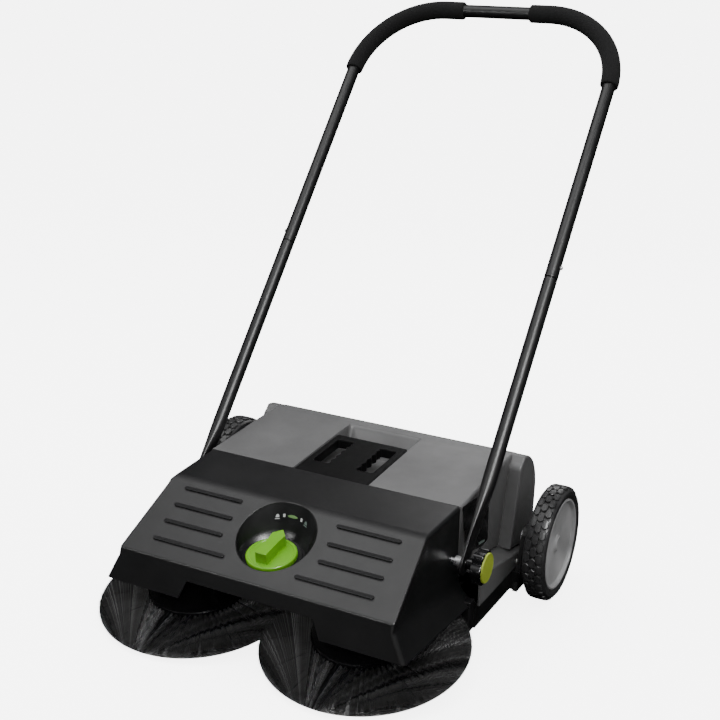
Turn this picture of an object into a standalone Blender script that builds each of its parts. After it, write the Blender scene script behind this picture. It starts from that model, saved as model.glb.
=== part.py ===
"""Walk-behind floor sweeper with two disc brushes, a slide-out hopper and a folding handle.

Metres, +Z up, the front of the machine towards -Y. All pieces are placed in the machine's own frame, whose Y
starts at the handle pivot. An empty then carries them to the part's frame, whose origin is below the middle of
the bounding box.
"""

from math import atan, atan2, cos, degrees, hypot, pi, radians, sin, tan

import bmesh
import bpy
from mathutils import Matrix, Vector

GAP = 0.0003  # left between pieces that touch
CREASE = 35  # degrees from which an edge is drawn sharp
SIDES = {"left": -1, "right": 1}

# Housing
SKIN = 0.003
HOOD_REAR = (0.026, 0.234)  # y, z of the hood's top edge at the back
HOOD_CREASE = (-0.094, 0.227)
HOOD_LOW = (-0.231, 0.1416)
HOOD_TOE = (-0.239, 0.083)
HOOD_HALF = {"rear": 0.2455, "crease": 0.242, "low": 0.2555, "toe": 0.2787}
NOTCH_HALF, NOTCH_TOP = 0.118, 0.115
HOOD_LEG = (0.262, (0.0180, 0.0385), (0.016, 0.070))  # inner x, then y and z of the post at the rear corner
SLOPE = atan2(HOOD_CREASE[1] - HOOD_LOW[1], HOOD_CREASE[0] - HOOD_LOW[0])

# Dial bowl in the hood's slope
BOWL_RADIUS, BOWL_FLOOR_RADIUS = 0.068, 0.056
BOWL_DOWN_SLOPE = 0.067
BOWL_FLOOR = Vector((0, -0.163, 0.158))
KNOB_TILT = radians(11.5)

# Carry handle, from the hood's rear edge over the hopper
CARRY_HALF, CARRY_END, CARRY_THICK = 0.0733, 0.189, 0.017
TOP_RISE = radians(4.7)
FINGER_SLOT = (0.027, 0.060, 0.071, 0.169)  # inner x, outer x, front y, rear y

# Hopper
HOPPER_HALF, HOPPER_LOW_HALF = 0.248, 0.229
HOPPER_FRONT, HOPPER_BACK = 0.0275, 0.335
CORE_FRONT, CORE_TOP = 0.0487, 0.150  # the lower part, between the skirts
HOPPER_FLOOR, HOPPER_TOP = 0.0205, 0.250
HOPPER_ROUND = (0.073, 0.085)  # depth and height of the rounded rear edge
WING_HALF, WING_FOOT, WING_SHOULDER = 0.272, (0.218, 0.084), (0.245, 0.236)
SHELF_FRONT, SHELF_FALL = 0.119, 0.1818  # height of the sloping shelf at the hopper's front, and its fall
RECESS_END, RECESS_FLOOR = 0.244, 0.200
PANEL = ((0.030, 0.232), (0.082, 0.228), (0.152, 0.221), (0.162, 0.121), (0.138, 0.118), (0.056, 0.136))
SKIRT_FRONT, SKIRT_BACK = 0.0480, 0.3160

# Chassis
TRAY = (0.0140, 0.0180)  # z of its two faces
BULKHEAD = (0.040, 0.0465)  # y of its two faces
FRAME_REAR = HOPPER_BACK - 0.017
RAIL_HALF, RAIL_INNER, RAIL_TOP = 0.280, 0.2765, 0.052
CHANNEL = (0.2300, 0.2325)  # x of the inner wall of the belt channel
EAR = (0.2870, 0.2960)  # x of the plate that holds the axle
DECK = (0.146, 0.150)
DECK_HALF, DECK_FRONT = 0.240, -0.203
DECK_WALL = (0.0170, 0.0210)
SHELF_TOP = 0.1120
MOUTH = (0.105, 0.022, 0.098)  # half width, bottom, top

# Wheels
WHEEL = Vector((0, 0.249, 0.1045))
WHEEL_RADIUS, RIM_RADIUS = 0.1045, 0.0834
TYRE_INNER, TYRE_OUTER = 0.3166, 0.3577
AXLE_RADIUS = 0.0075
GEAR_MODULE, WHEEL_TEETH, PINION_TEETH = 0.002, 36, 12
GEAR_DISTANCE = GEAR_MODULE * (WHEEL_TEETH + PINION_TEETH) / 2
PINION_DIRECTION = radians(-117.7)  # from the wheel's centre, in the Y, Z plane, where 0 is +Y
GEAR_X = (0.3205, 0.3300)

# Brushes
BRUSH = Vector((0.160, -0.134, 0.0335))
BRUSH_TILT = radians(9.1)
BRUSH_RADIUS = 0.1594
HUB_FOOT, HUB_TOP = (0.087, 0.024), (0.074, 0.082)  # radius and height above the tips' plane
SPINDLE_RADIUS = 0.006
BEVEL_APEX = 0.092  # height of the jackshaft above the tips' plane
BEVEL_TEETH, CROWN_TEETH = 12, 24
BEVEL_FACE = 0.007

# Belt drive, in one plane on each side
BELT_X, BELT_WIDTH, BELT_THICK = 0.2415, 0.007, 0.003
PULLEY_GROOVE, PULLEY_FLANGE, PULLEY_WIDTH = 0.0105, 0.0130, 0.009
SHAFT_RADIUS = 0.004

# Height setting
ARM_PIVOT = Vector((0, 0.028, 0.104))
ROLLER = Vector((0, -0.030, 0.020))
ROLLER_RADIUS, ROLLER_HALF = 0.020, 0.011
KNOB_RADIUS, KNOB_THICK, GRIP_HEIGHT = 0.0425, 0.009, 0.019
CAM_RADIUS, CAM_FINGER, CAM_SLANT, CAM_DROP = 0.026, 0.022, radians(30), 0.032

# Push handle
PIVOT = Vector((0, 0, 0.1506))
LEG_X, LEG_LEAN = 0.270, radians(51.8)
TUBE_RADIUS, TUBE_WALL = 0.0125, 0.0015
INSERT_RADIUS = 0.0101
JOINT_AT, INSERT_END = 0.528, 0.588
BUTTON_AT, BUTTON_RADIUS = 0.552, 0.0035
BAR_AT, BEND_RADIUS = 1.0945, 0.159
FOAM_END_X, FOAM_RADIUS, FOAM_WALL = 0.0707, 0.0176, 0.0037
PLATE_THICK, PLATE_WIDTH = 0.005, 0.034

LEG = Vector((0, cos(LEG_LEAN), sin(LEG_LEAN)))
FRONT_END = BRUSH.y - BRUSH_RADIUS * cos(BRUSH_TILT)
REAR_END = BAR_AT * LEG.y + FOAM_RADIUS
Y_SHIFT = -(FRONT_END + REAR_END) / 2

for old in list(bpy.data.objects):
    bpy.data.objects.remove(old, do_unlink=True)

parts = bpy.data.collections.new("floor_sweeper")
cutters = bpy.data.collections.new("cutters")
for group in (parts, cutters):
    bpy.context.scene.collection.children.link(group)
cutters.hide_render = True

machine = bpy.data.objects.new("machine_frame", None)
machine.location = (0, Y_SHIFT, 0)
parts.objects.link(machine)


def material(name, color, roughness, metallic=0.0):
    made = bpy.data.materials.new(name)
    made.use_nodes = True
    shader = made.node_tree.nodes["Principled BSDF"]
    shader.inputs["Base Color"].default_value = (*color, 1)
    shader.inputs["Roughness"].default_value = roughness
    shader.inputs["Metallic"].default_value = metallic
    return made


BLACK = material("black_plastic", (0.020, 0.020, 0.021), 0.45)
GREY = material("grey_plastic", (0.20, 0.20, 0.20), 0.50)
GREEN = material("green_plastic", (0.36, 0.66, 0.06), 0.40)
TUBE = material("dark_tube", (0.035, 0.036, 0.038), 0.35, 0.6)
STEEL = material("steel", (0.55, 0.55, 0.56), 0.30, 1.0)
RUBBER = material("rubber", (0.018, 0.018, 0.018), 0.80)
FOAM = material("foam", (0.012, 0.012, 0.012), 0.95)
WHITE = material("white_plastic", (0.75, 0.75, 0.72), 0.45)


# ---------------------------------------------------------------- tools


def place(mesh, name, look, helper=False):
    """A named object in the machine's frame. A helper is a cutter, which the build leaves out."""
    obj = bpy.data.objects.new(name, mesh)
    (cutters if helper else parts).objects.link(obj)
    obj.parent = machine
    if helper:
        obj.hide_render = True
        obj.display_type = "WIRE"
    if look:
        mesh.materials.append(look)
        mesh.shade_smooth()
        mesh.set_sharp_from_angle(angle=radians(CREASE))
    return obj


def from_bmesh(bm, name, look, helper=False):
    bmesh.ops.recalc_face_normals(bm, faces=bm.faces)
    mesh = bpy.data.meshes.new(name)
    bm.to_mesh(mesh)
    bm.free()
    return place(mesh, name, look, helper)


def block(name, low, high, look=None, helper=False):
    low, high = Vector(low), Vector(high)
    bm = bmesh.new()
    bmesh.ops.create_cube(bm, size=1)
    bmesh.ops.scale(bm, vec=high - low, verts=bm.verts)
    bmesh.ops.translate(bm, vec=(low + high) / 2, verts=bm.verts)
    return from_bmesh(bm, name, look, helper)


def rod(name, start, end, radius, look=None, sides=16, helper=False, end_radius=None):
    """A cylinder or a cone between two points."""
    start, end = Vector(start), Vector(end)
    bm = bmesh.new()
    bmesh.ops.create_cone(
        bm,
        cap_ends=True,
        segments=sides,
        radius1=radius,
        radius2=radius if end_radius is None else end_radius,
        depth=(end - start).length,
    )
    turn = (end - start).to_track_quat("Z", "Y").to_matrix().to_4x4()
    bmesh.ops.transform(bm, matrix=Matrix.Translation((start + end) / 2) @ turn, verts=bm.verts)
    return from_bmesh(bm, name, look, helper)


def turned(name, profile, at, axis, look, sides=32, closed=True):
    """A profile of (radius, height) points, turned about the axis that starts at a point. The two ends of a profile
    that isn't closed lie on the axis."""
    if closed:
        area = sum(a[0] * b[1] - b[0] * a[1] for a, b in zip(profile, profile[1:] + profile[:1]))
        profile = profile[::-1] if area > 0 else profile
    elif profile[0][1] < profile[-1][1]:
        profile = profile[::-1]
    count = len(profile)
    edges = [(i, (i + 1) % count) for i in range(count if closed else count - 1)]
    mesh = bpy.data.meshes.new(name)
    mesh.from_pydata([(r, 0, h) for r, h in profile], edges, [])
    obj = place(mesh, name, look)
    obj.matrix_local = Matrix.Translation(at) @ Vector(axis).to_track_quat("Z", "Y").to_matrix().to_4x4()
    screw = obj.modifiers.new("turn", "SCREW")
    screw.steps = screw.render_steps = sides
    screw.use_merge_vertices = True
    screw.merge_threshold = 0.00001
    screw.use_smooth_shade = True
    return obj


def solid_disc(name, profile, at, axis, look, sides=32):
    return turned(name, profile, at, axis, look, sides, closed=False)


AXIS_FRAMES = {
    "X": Matrix(((0, 0, 1, 0), (1, 0, 0, 0), (0, 1, 0, 0), (0, 0, 0, 1))),  # outline in Y, Z
    "Z": Matrix.Identity(4),  # outline in X, Y
}


def plate(name, outlines, axis, low, high, look=None, helper=False, frame=None):
    """A flat outline, with holes if it has more than one loop, extruded along X or Z from low to high."""
    curve = bpy.data.curves.new(name, "CURVE")
    curve.dimensions = "2D"
    curve.fill_mode = "BOTH"
    curve.extrude = (high - low) / 2
    for outline in outlines:
        spline = curve.splines.new("POLY")
        spline.points.add(len(outline) - 1)
        for point, (u, v) in zip(spline.points, outline):
            point.co = (u, v, 0, 1)
        spline.use_cyclic_u = True
    maker = bpy.data.objects.new(name + "_curve", curve)
    cutters.objects.link(maker)
    bpy.context.view_layer.update()
    graph = bpy.context.evaluated_depsgraph_get()
    mesh = bpy.data.meshes.new_from_object(maker.evaluated_get(graph))
    bpy.data.objects.remove(maker)
    mesh.materials.clear()
    bm = bmesh.new()
    bm.from_mesh(mesh)
    bmesh.ops.remove_doubles(bm, verts=bm.verts, dist=0.00001)
    bmesh.ops.translate(bm, vec=(0, 0, (low + high) / 2), verts=bm.verts)
    bmesh.ops.transform(bm, matrix=AXIS_FRAMES[axis] if frame is None else frame, verts=bm.verts)
    bm.to_mesh(mesh)
    bm.free()
    return place(mesh, name, look, helper)


def boolean(obj, other, operation):
    modifier = obj.modifiers.new(operation.lower(), "BOOLEAN")
    modifier.operation = operation
    modifier.object = other
    modifier.solver = "EXACT"
    return obj


def cut(obj, *others):
    for other in others:
        boolean(obj, other, "DIFFERENCE")
    return obj


def join(obj, *others):
    for other in others:
        boolean(obj, other, "UNION")
    return obj


def bridged(bm, a, b):
    """Faces between two loops. Where they differ in number, the larger is a whole multiple of the smaller."""
    if len(a) == len(b):
        for i in range(len(a)):
            j = (i + 1) % len(a)
            bm.faces.new((a[i], a[j], b[j], b[i]))
        return
    big, small = (a, b) if len(a) > len(b) else (b, a)
    share = len(big) // len(small)
    for i, corner in enumerate(small):
        for k in range(share):
            bm.faces.new((corner, big[i * share + k], big[(i * share + k + 1) % len(big)]))
        bm.faces.new((corner, big[((i + 1) * share) % len(big)], small[(i + 1) % len(small)]))


def skin(name, rings, look=None, loop=False, helper=False):
    """Closed surface through rings of points: capped at both ends, or with its last ring joined to the first."""
    bm = bmesh.new()
    loops = [[bm.verts.new(point) for point in ring] for ring in rings]
    for a, b in zip(loops, loops[1:]):
        bridged(bm, a, b)
    if loop:
        bridged(bm, loops[-1], loops[0])
    else:
        bm.faces.new(loops[0][::-1])
        bm.faces.new(loops[-1])
    return from_bmesh(bm, name, look, helper)


def arc(centre, radius, start, end, steps):
    """Points along an arc in a plane, angles in degrees."""
    angles = [radians(start + (end - start) * i / steps) for i in range(steps + 1)]
    return [(centre[0] + radius * cos(a), centre[1] + radius * sin(a)) for a in angles]


def slot_outline(x0, x1, y0, y1, radius, steps=3):
    corners = (
        ((x1 - radius, y1 - radius), 0),
        ((x0 + radius, y1 - radius), 90),
        ((x0 + radius, y0 + radius), 180),
        ((x1 - radius, y0 + radius), 270),
    )
    return [point for centre, a in corners for point in arc(centre, radius, a, a + 90, steps)]


def circle(radius, sides, centre=(0, 0), turn=0.0):
    return [
        (centre[0] + radius * cos(turn + 2 * pi * i / sides), centre[1] + radius * sin(turn + 2 * pi * i / sides))
        for i in range(sides)
    ]


# ---------------------------------------------------------------- housing


def slope_point(down, x=0.0, proud=0.0):
    """A point of the hood's slope, so far down from the crease."""
    y = HOOD_CREASE[0] - down * cos(SLOPE) - proud * sin(SLOPE)
    z = HOOD_CREASE[1] - down * sin(SLOPE) + proud * cos(SLOPE)
    return Vector((x, y, z))


KNOB_AXIS = Vector((0, -sin(KNOB_TILT), cos(KNOB_TILT)))


def bowl_ring(radius, plane, sides=32):
    """Ring of the dial bowl: on the slope, a little above it, or at the bowl's floor."""
    ring = []
    for i in range(sides):
        a = 2 * pi * i / sides
        if plane == "floor":
            across = Vector((0, cos(KNOB_TILT), sin(KNOB_TILT)))
            ring.append(BOWL_FLOOR + Vector((radius * cos(a), 0, 0)) + across * radius * sin(a))
        else:
            ring.append(slope_point(BOWL_DOWN_SLOPE - radius * sin(a), radius * cos(a), plane))
    return ring


def hood_shell():
    """Right half of the hood's outer surface as rows from back to front, then mirrored and given its thickness."""
    soft = 0.008  # width of the rounded top side edges
    rows = []
    sides = (
        ((0.2475, 0.0262, 0.120), (0.2490, 0.0385, 0.086), (0.2750, 0.0390, 0.060)),
        ((0.2455, -0.094, 0.150), (0.2515, -0.094, 0.112), (0.2775, -0.094, 0.074)),
        ((0.2555, -0.2322, 0.1370), (0.2560, -0.2335, 0.1330), (HOOD_HALF["toe"], -0.2385, 0.0830)),
    )
    tops = ((HOOD_REAR, "rear"), (HOOD_CREASE, "crease"), (HOOD_LOW, "low"))
    for ((y, z), name), (middle, band, foot) in zip(tops, sides):
        half = HOOD_HALF[name]
        top = [(x, y, z) for x in (0, NOTCH_HALF, NOTCH_HALF + 0.014, half - soft)]
        rows.append(top + [(half, y, z - soft * (0.7 if name != "low" else 0.3)), middle, band, foot])
    x_foot = HOOD_HALF["toe"]
    rows.append(
        [
            (0, -0.2346, NOTCH_TOP),
            (NOTCH_HALF, -0.2346, NOTCH_TOP),
            (NOTCH_HALF + 0.014, HOOD_TOE[0], HOOD_TOE[1]),
            (HOOD_HALF["low"] - soft, HOOD_TOE[0], HOOD_TOE[1] - 0.006),
            (x_foot - 0.006, HOOD_TOE[0], HOOD_TOE[1] - 0.004),
        ]
    )
    bm = bmesh.new()
    grid = [[bm.verts.new(point) for point in row] for row in rows]
    for back, front in zip(grid[:2], grid[1:3]):
        for i in range(len(back) - 1):
            bm.faces.new((back[i], back[i + 1], front[i + 1], front[i]))
    low, toe = grid[2], grid[3]
    for i in range(3):
        bm.faces.new((low[i], low[i + 1], toe[i + 1], toe[i]))
    bm.faces.new((low[3], low[4], low[5], low[6], low[7], toe[4], toe[3]))
    bmesh.ops.triangulate(bm, faces=[f for f in bm.faces if len(f.verts) > 4])
    hood = from_bmesh(bm, "front_hood", BLACK)
    if hood.data.polygons[0].normal.z < 0:
        hood.data.flip_normals()
    mirror = hood.modifiers.new("both_sides", "MIRROR")
    mirror.merge_threshold = 0.00001
    solidify = hood.modifiers.new("skin", "SOLIDIFY")
    solidify.thickness = SKIN
    solidify.offset = -1
    solidify.use_even_offset = True
    return hood


def build_hood():
    hood = hood_shell()
    wall = SKIN
    under_floor = [p - KNOB_AXIS * wall for p in bowl_ring(BOWL_FLOOR_RADIUS + wall, "floor")]
    outer = skin("bowl_outside", [under_floor, bowl_ring(BOWL_RADIUS + wall, -0.0012)], helper=True)
    mouth = bowl_ring(BOWL_RADIUS + 0.0015, 0.008)
    inner = skin("bowl_inside", [bowl_ring(BOWL_FLOOR_RADIUS, "floor"), mouth], helper=True)
    shaft_way = rod(
        "shaft_way", BOWL_FLOOR - KNOB_AXIS * 0.02, BOWL_FLOOR + KNOB_AXIS * 0.01, 0.0066, sides=16, helper=True
    )
    join(hood, outer)
    cut(hood, inner, shaft_way)
    for side, sign in SIDES.items():
        x_in, x_out = sorted((sign * HOOD_LEG[0], sign * HOOD_HALF["toe"]))
        (y_in, y_out), (z_in, z_out) = HOOD_LEG[1:]
        join(hood, block(f"hood_leg_{side}", (x_in, y_in, z_in), (x_out, y_out, z_out), helper=True))
        way = rod(
            f"pivot_way_{side}",
            PIVOT + Vector((sign * 0.235, 0, 0)),
            PIVOT + Vector((sign * 0.262, 0, 0)),
            0.0046,
            sides=12,
            helper=True,
        )
        cut(hood, way)


def build_carry_handle():
    """Flat grip that runs back from the hood over the hopper, with a finger slot on each side."""
    front = HOOD_REAR[0] + GAP
    length = (CARRY_END - front) / cos(TOP_RISE)
    lift = Matrix.Translation((0, front, HOOD_REAR[1])) @ Matrix.Rotation(TOP_RISE, 4, "X")
    loops = [
        [(CARRY_HALF, 0)]
        + arc((CARRY_HALF - 0.008, length - 0.008), 0.008, 0, 90, 3)
        + arc((-CARRY_HALF + 0.008, length - 0.008), 0.008, 90, 180, 3)
        + [(-CARRY_HALF, 0)]
    ]
    x0, x1, y0, y1 = FINGER_SLOT
    for sign in (-1, 1):
        low, high = sorted((sign * x0, sign * x1))
        loops.append(slot_outline(low, high, y0 - front, y1 - front, 0.006))
    plate("carry_handle", loops, "Z", -CARRY_THICK, 0, BLACK, frame=lift)


def belt_height(y):
    """Height of the belt's centre line."""
    share = (y - REAR_SHAFT.y) / (JACKSHAFT.y - REAR_SHAFT.y)
    return REAR_SHAFT.z + share * (JACKSHAFT.z - REAR_SHAFT.z)


def belt_channel(side, sign):
    """Inner wall of one belt channel, whose top follows the shelf above it."""
    room = 0.006
    front, rear, top = BULKHEAD[1] - 0.002, FRAME_REAR - 0.004, 0.078
    bend_y = HOPPER_FRONT + (SHELF_FRONT - room - top) / SHELF_FALL
    outline = [(front, 0.016), (rear, 0.016), (rear, shelf_height(rear) - room), (bend_y, top), (front, top)]
    low, high = sorted((sign * CHANNEL[0], sign * CHANNEL[1]))
    return plate(f"channel_{side}", [outline], "X", low, high, helper=True)


def axle_ear(side, sign):
    """Upright plate that holds the axle, and its foot on the rail."""
    foot_low, foot_high, front, rear = 0.0150, 0.0500, 0.2000, 0.2955
    ear = [(front, foot_low), (rear, foot_low)] + arc((WHEEL.y, WHEEL.z), 0.022, 0, 180, 8)
    low, high = sorted((sign * EAR[0], sign * EAR[1]))
    upright = plate(f"ear_{side}", [ear], "X", low, high, helper=True)
    low, high = sorted((sign * (RAIL_HALF - 0.002), sign * EAR[1]))
    foot = block(f"ear_foot_{side}", (low, front + 0.005, foot_low), (high, rear - 0.010, foot_high), helper=True)
    return [upright, foot]


def shaft_tabs(side, sign):
    """The two tabs under the deck that carry the jackshaft."""
    y, z, top = JACKSHAFT.y, JACKSHAFT.z, DECK[0] + 0.001
    outline = [(y - 0.009, z - 0.0065), (y + 0.009, z - 0.0065), (y + 0.012, top), (y - 0.012, top)]
    tabs = []
    for name, near in (("inner", 0.0360), ("outer", 0.0600)):
        low, high = sorted((sign * (BRUSH.x + near), sign * (BRUSH.x + near + 0.004)))
        tabs.append(plate(f"shaft_tab_{name}_{side}", [outline], "X", low, high, helper=True))
    return tabs


def chassis_side(side, sign):
    """What the frame has once on each side."""
    rail = sorted((sign * RAIL_INNER, sign * RAIL_HALF))
    rail_front = BULKHEAD[0] + 0.001
    deck = sorted((sign * 0.085, sign * DECK_HALF))
    lug = sorted((sign * 0.0205, sign * 0.0245))
    return [
        block(f"rail_{side}", (rail[0], rail_front, TRAY[0]), (rail[1], FRAME_REAR, RAIL_TOP), helper=True),
        block(f"deck_{side}", (deck[0], DECK_FRONT, DECK[0]), (deck[1], -0.060, DECK[1]), helper=True),
        block(f"arm_lug_{side}", (lug[0], DECK_WALL[1] - 0.0005, 0.0985), (lug[1], BULKHEAD[0] + 0.001, 0.110),
              helper=True),
        belt_channel(side, sign),
        *axle_ear(side, sign),
        *shaft_tabs(side, sign),
    ]


def cross_bore(name, sign, at, x_in, x_out, radius, sides=12):
    return rod(name, (sign * x_in, at.y, at.z), (sign * x_out, at.y, at.z), radius, sides=sides, helper=True)


def chassis_ways(side, sign):
    """Holes for the belt, the shafts and the spindle of one side."""
    low, high = sorted((sign * 0.2345, sign * 0.2490))
    foot, head = belt_height(0.043) - 0.019, belt_height(0.020) + 0.019
    centre = Vector((sign * BRUSH.x, BRUSH.y, BRUSH.z))
    return [
        block(f"belt_way_{side}", (low, 0.010, foot), (high, 0.060, head), helper=True),
        cross_bore(f"axle_way_{side}", sign, WHEEL, 0.27, 0.31, AXLE_RADIUS + GAP, 16),
        cross_bore(f"pinion_way_{side}", sign, REAR_SHAFT, 0.225, 0.31, SHAFT_RADIUS + 0.0006),
        cross_bore(f"jackshaft_way_{side}", sign, JACKSHAFT, 0.19, 0.23, SHAFT_RADIUS + 0.0006),
        rod(f"spindle_way_{side}", centre + BRUSH_AXIS * 0.100, centre + BRUSH_AXIS * 0.135, 0.0104, sides=20,
            helper=True),
    ]


def build_chassis():
    half, back = RAIL_HALF, BULKHEAD[0]
    base = block("chassis_frame", (-half, back, TRAY[0]), (half, FRAME_REAR, TRAY[1]), BLACK)
    low, high = DECK_WALL
    boxes = {
        "bulkhead": ((-half, back, TRAY[0]), (half, BULKHEAD[1], 0.060)),
        "bulkhead_top": ((-0.243, back, 0.050), (0.243, BULKHEAD[1], SHELF_TOP)),
        "shelf": ((-DECK_HALF, low, SHELF_TOP - 0.004), (DECK_HALF, 0.0450, SHELF_TOP)),
        "deck_wall": ((-DECK_HALF, low, SHELF_TOP - 0.003), (DECK_HALF, high, DECK[1])),
        "deck_rear": ((-DECK_HALF, -0.070, DECK[0]), (DECK_HALF, high - 0.001, DECK[1])),
    }
    join(base, *[block(name, *corners, helper=True) for name, corners in boxes.items()])
    for side, sign in SIDES.items():
        join(base, *chassis_side(side, sign))
    across = Vector((0.03, 0, 0))
    cut(
        base,
        block("arm_window", (-0.0195, 0.0100, 0.0900), (0.0195, 0.0395, 0.122), helper=True),
        block("mouth", (-MOUTH[0], 0.030, MOUTH[1]), (MOUTH[0], 0.060, MOUTH[2]), helper=True),
        rod("arm_pin_way", ARM_PIVOT - across, ARM_PIVOT + across, 0.0033, sides=12, helper=True),
    )
    for side, sign in SIDES.items():
        cut(base, *chassis_ways(side, sign))


def build_skirts():
    """Grey covers of the belt channels, with the sloping shelf that carries the hopper."""
    for side, sign in SIDES.items():
        rings = []
        for y in (SKIRT_FRONT, SKIRT_BACK):
            shelf = shelf_height(y) - GAP
            section = [(0.2515, shelf), (0.2810, shelf - 0.006), (0.2830, 0.0525), (0.2800, 0.0525),
                       (0.2782, shelf - 0.009), (0.2500, shelf - 0.004), (0.2320, shelf - 0.004), (0.2320, shelf)]
            rings.append([(sign * x, y, z) for x, z in section])
        skirt = skin(f"side_skirt_{side}", rings, GREY)
        cut(skirt, cross_bore(f"skirt_way_{side}", sign, REAR_SHAFT, 0.26, 0.30, SHAFT_RADIUS + 0.0008))


def shelf_height(y):
    return SHELF_FRONT - SHELF_FALL * (y - HOPPER_FRONT)


# ---------------------------------------------------------------- hopper


def rear_edge(inset, steps=8):
    """Rounded rear edge of the hopper in Y, Z, from its top down to its rear wall."""
    depth, height = HOPPER_ROUND
    angles = [pi / 2 * k / steps for k in range(steps + 1)]
    return [(HOPPER_BACK - depth + (depth - inset) * sin(a), HOPPER_TOP - height + (height - inset) * cos(a))
            for a in angles]


def hopper_body(name, inset, look=None):
    """The hopper's outside, or its inside when the inset is the wall's thickness."""
    front, back, helper = HOPPER_FRONT + inset, HOPPER_BACK - inset, look is None
    crown = [(0.200, HOPPER_TOP - 0.002 - inset)] + rear_edge(inset)
    upper = [(front, shelf_height(front) + inset), (front, HOOD_REAR[1] - inset), *crown,
             (back, shelf_height(back) + inset)]
    main = plate(name, [upper], "X", -HOPPER_HALF + inset, HOPPER_HALF - inset, look, helper)
    half = HOPPER_LOW_HALF - inset
    within = inset + 0.0008  # keeps the faces of the core and the wings clear of the main part's
    low, high = (-half, CORE_FRONT + inset, HOPPER_FLOOR + inset), (half, HOPPER_BACK - within, CORE_TOP)
    core = block(f"{name}_core", low, high, helper=True)
    foot, shoulder = Vector((*WING_FOOT, 0)), Vector((*WING_SHOULDER, 0))
    side_way = Vector(((shoulder - foot).y, -(shoulder - foot).x, 0)).normalized() * inset
    foot, shoulder = foot + side_way, shoulder + side_way
    wing_back = HOPPER_BACK - within
    outline = [(foot.x, shelf_height(foot.x) + within), (shoulder.x, shoulder.y),
               (shoulder.x + 0.010, 0.2465 - inset), *rear_edge(within)[1:],
               (wing_back, shelf_height(wing_back) + within)]
    wing = plate(f"{name}_wing", [outline], "X", -WING_HALF + inset, WING_HALF - inset, helper=True)
    return join(main, core, wing)


def build_hopper():
    half, top = CARRY_HALF + 0.0012, HOPPER_TOP + 0.012
    outline = [(0.0, RECESS_FLOOR), (RECESS_END - 0.020, RECESS_FLOOR), (RECESS_END, top), (0.0, top)]
    recess = plate("recess", [outline], "X", -half, half, helper=True)
    floor, end = RECESS_FLOOR - SKIN, RECESS_END + SKIN
    outline = [(0.0, floor), (end - 0.019, floor), (end, top + 0.008), (0.0, top + 0.008)]
    recess_wall = plate("recess_wall", [outline], "X", -half - SKIN, half + SKIN, helper=True)
    hollow = cut(hopper_body("hopper_hollow", SKIN), recess_wall)
    inlet = block("inlet", (-MOUTH[0], 0.040, HOPPER_FLOOR + SKIN), (MOUTH[0], 0.0600, 0.095), helper=True)
    hopper = cut(hopper_body("hopper", 0, GREY), recess, hollow, inlet)
    margin = 0.0012
    middle_y, middle_z = 0.100, 0.180
    for side, sign in SIDES.items():
        low, high = sorted((sign * (HOPPER_HALF - 0.0010), sign * (HOPPER_HALF + 0.004)))
        cut(hopper, plate(f"panel_pocket_{side}", [PANEL], "X", low, high, helper=True))
        inner = [(y + (margin if y < middle_y else -margin), z + (-margin if z > middle_z else margin))
                 for y, z in PANEL]
        low, high = sorted((sign * (HOPPER_HALF - 0.0007), sign * HOPPER_HALF))
        plate(f"side_panel_{side}", [inner], "X", low, high, BLACK)


# ---------------------------------------------------------------- wheels and drive

REAR_SHAFT = WHEEL + Vector((0, cos(PINION_DIRECTION), sin(PINION_DIRECTION))) * GEAR_DISTANCE
BRUSH_AXIS = Vector((0, -sin(BRUSH_TILT), cos(BRUSH_TILT)))
JACKSHAFT = Vector((0, BRUSH.y, BRUSH.z)) + BRUSH_AXIS * BEVEL_APEX


def gear_outline(teeth, centre_turn, backlash=0.0002):
    """Spur gear outline with one tooth centred on an angle."""
    pitch = GEAR_MODULE * teeth / 2
    tip, root = pitch + 0.8 * GEAR_MODULE, pitch - 1.15 * GEAR_MODULE
    pitch_half = pi / teeth / 2 - backlash / pitch
    lean = tan(radians(20))
    points = []
    for tooth in range(teeth):
        middle = centre_turn + 2 * pi * tooth / teeth
        root_half = pitch_half + (pitch - root) * lean / pitch * 0.8
        tip_half = pitch_half - (tip - pitch) * lean / pitch * 1.25
        for radius, half in ((root, -root_half), (tip, -tip_half), (tip, tip_half), (root, root_half)):
            points.append((radius * cos(middle + half), radius * sin(middle + half)))
    return points


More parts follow.
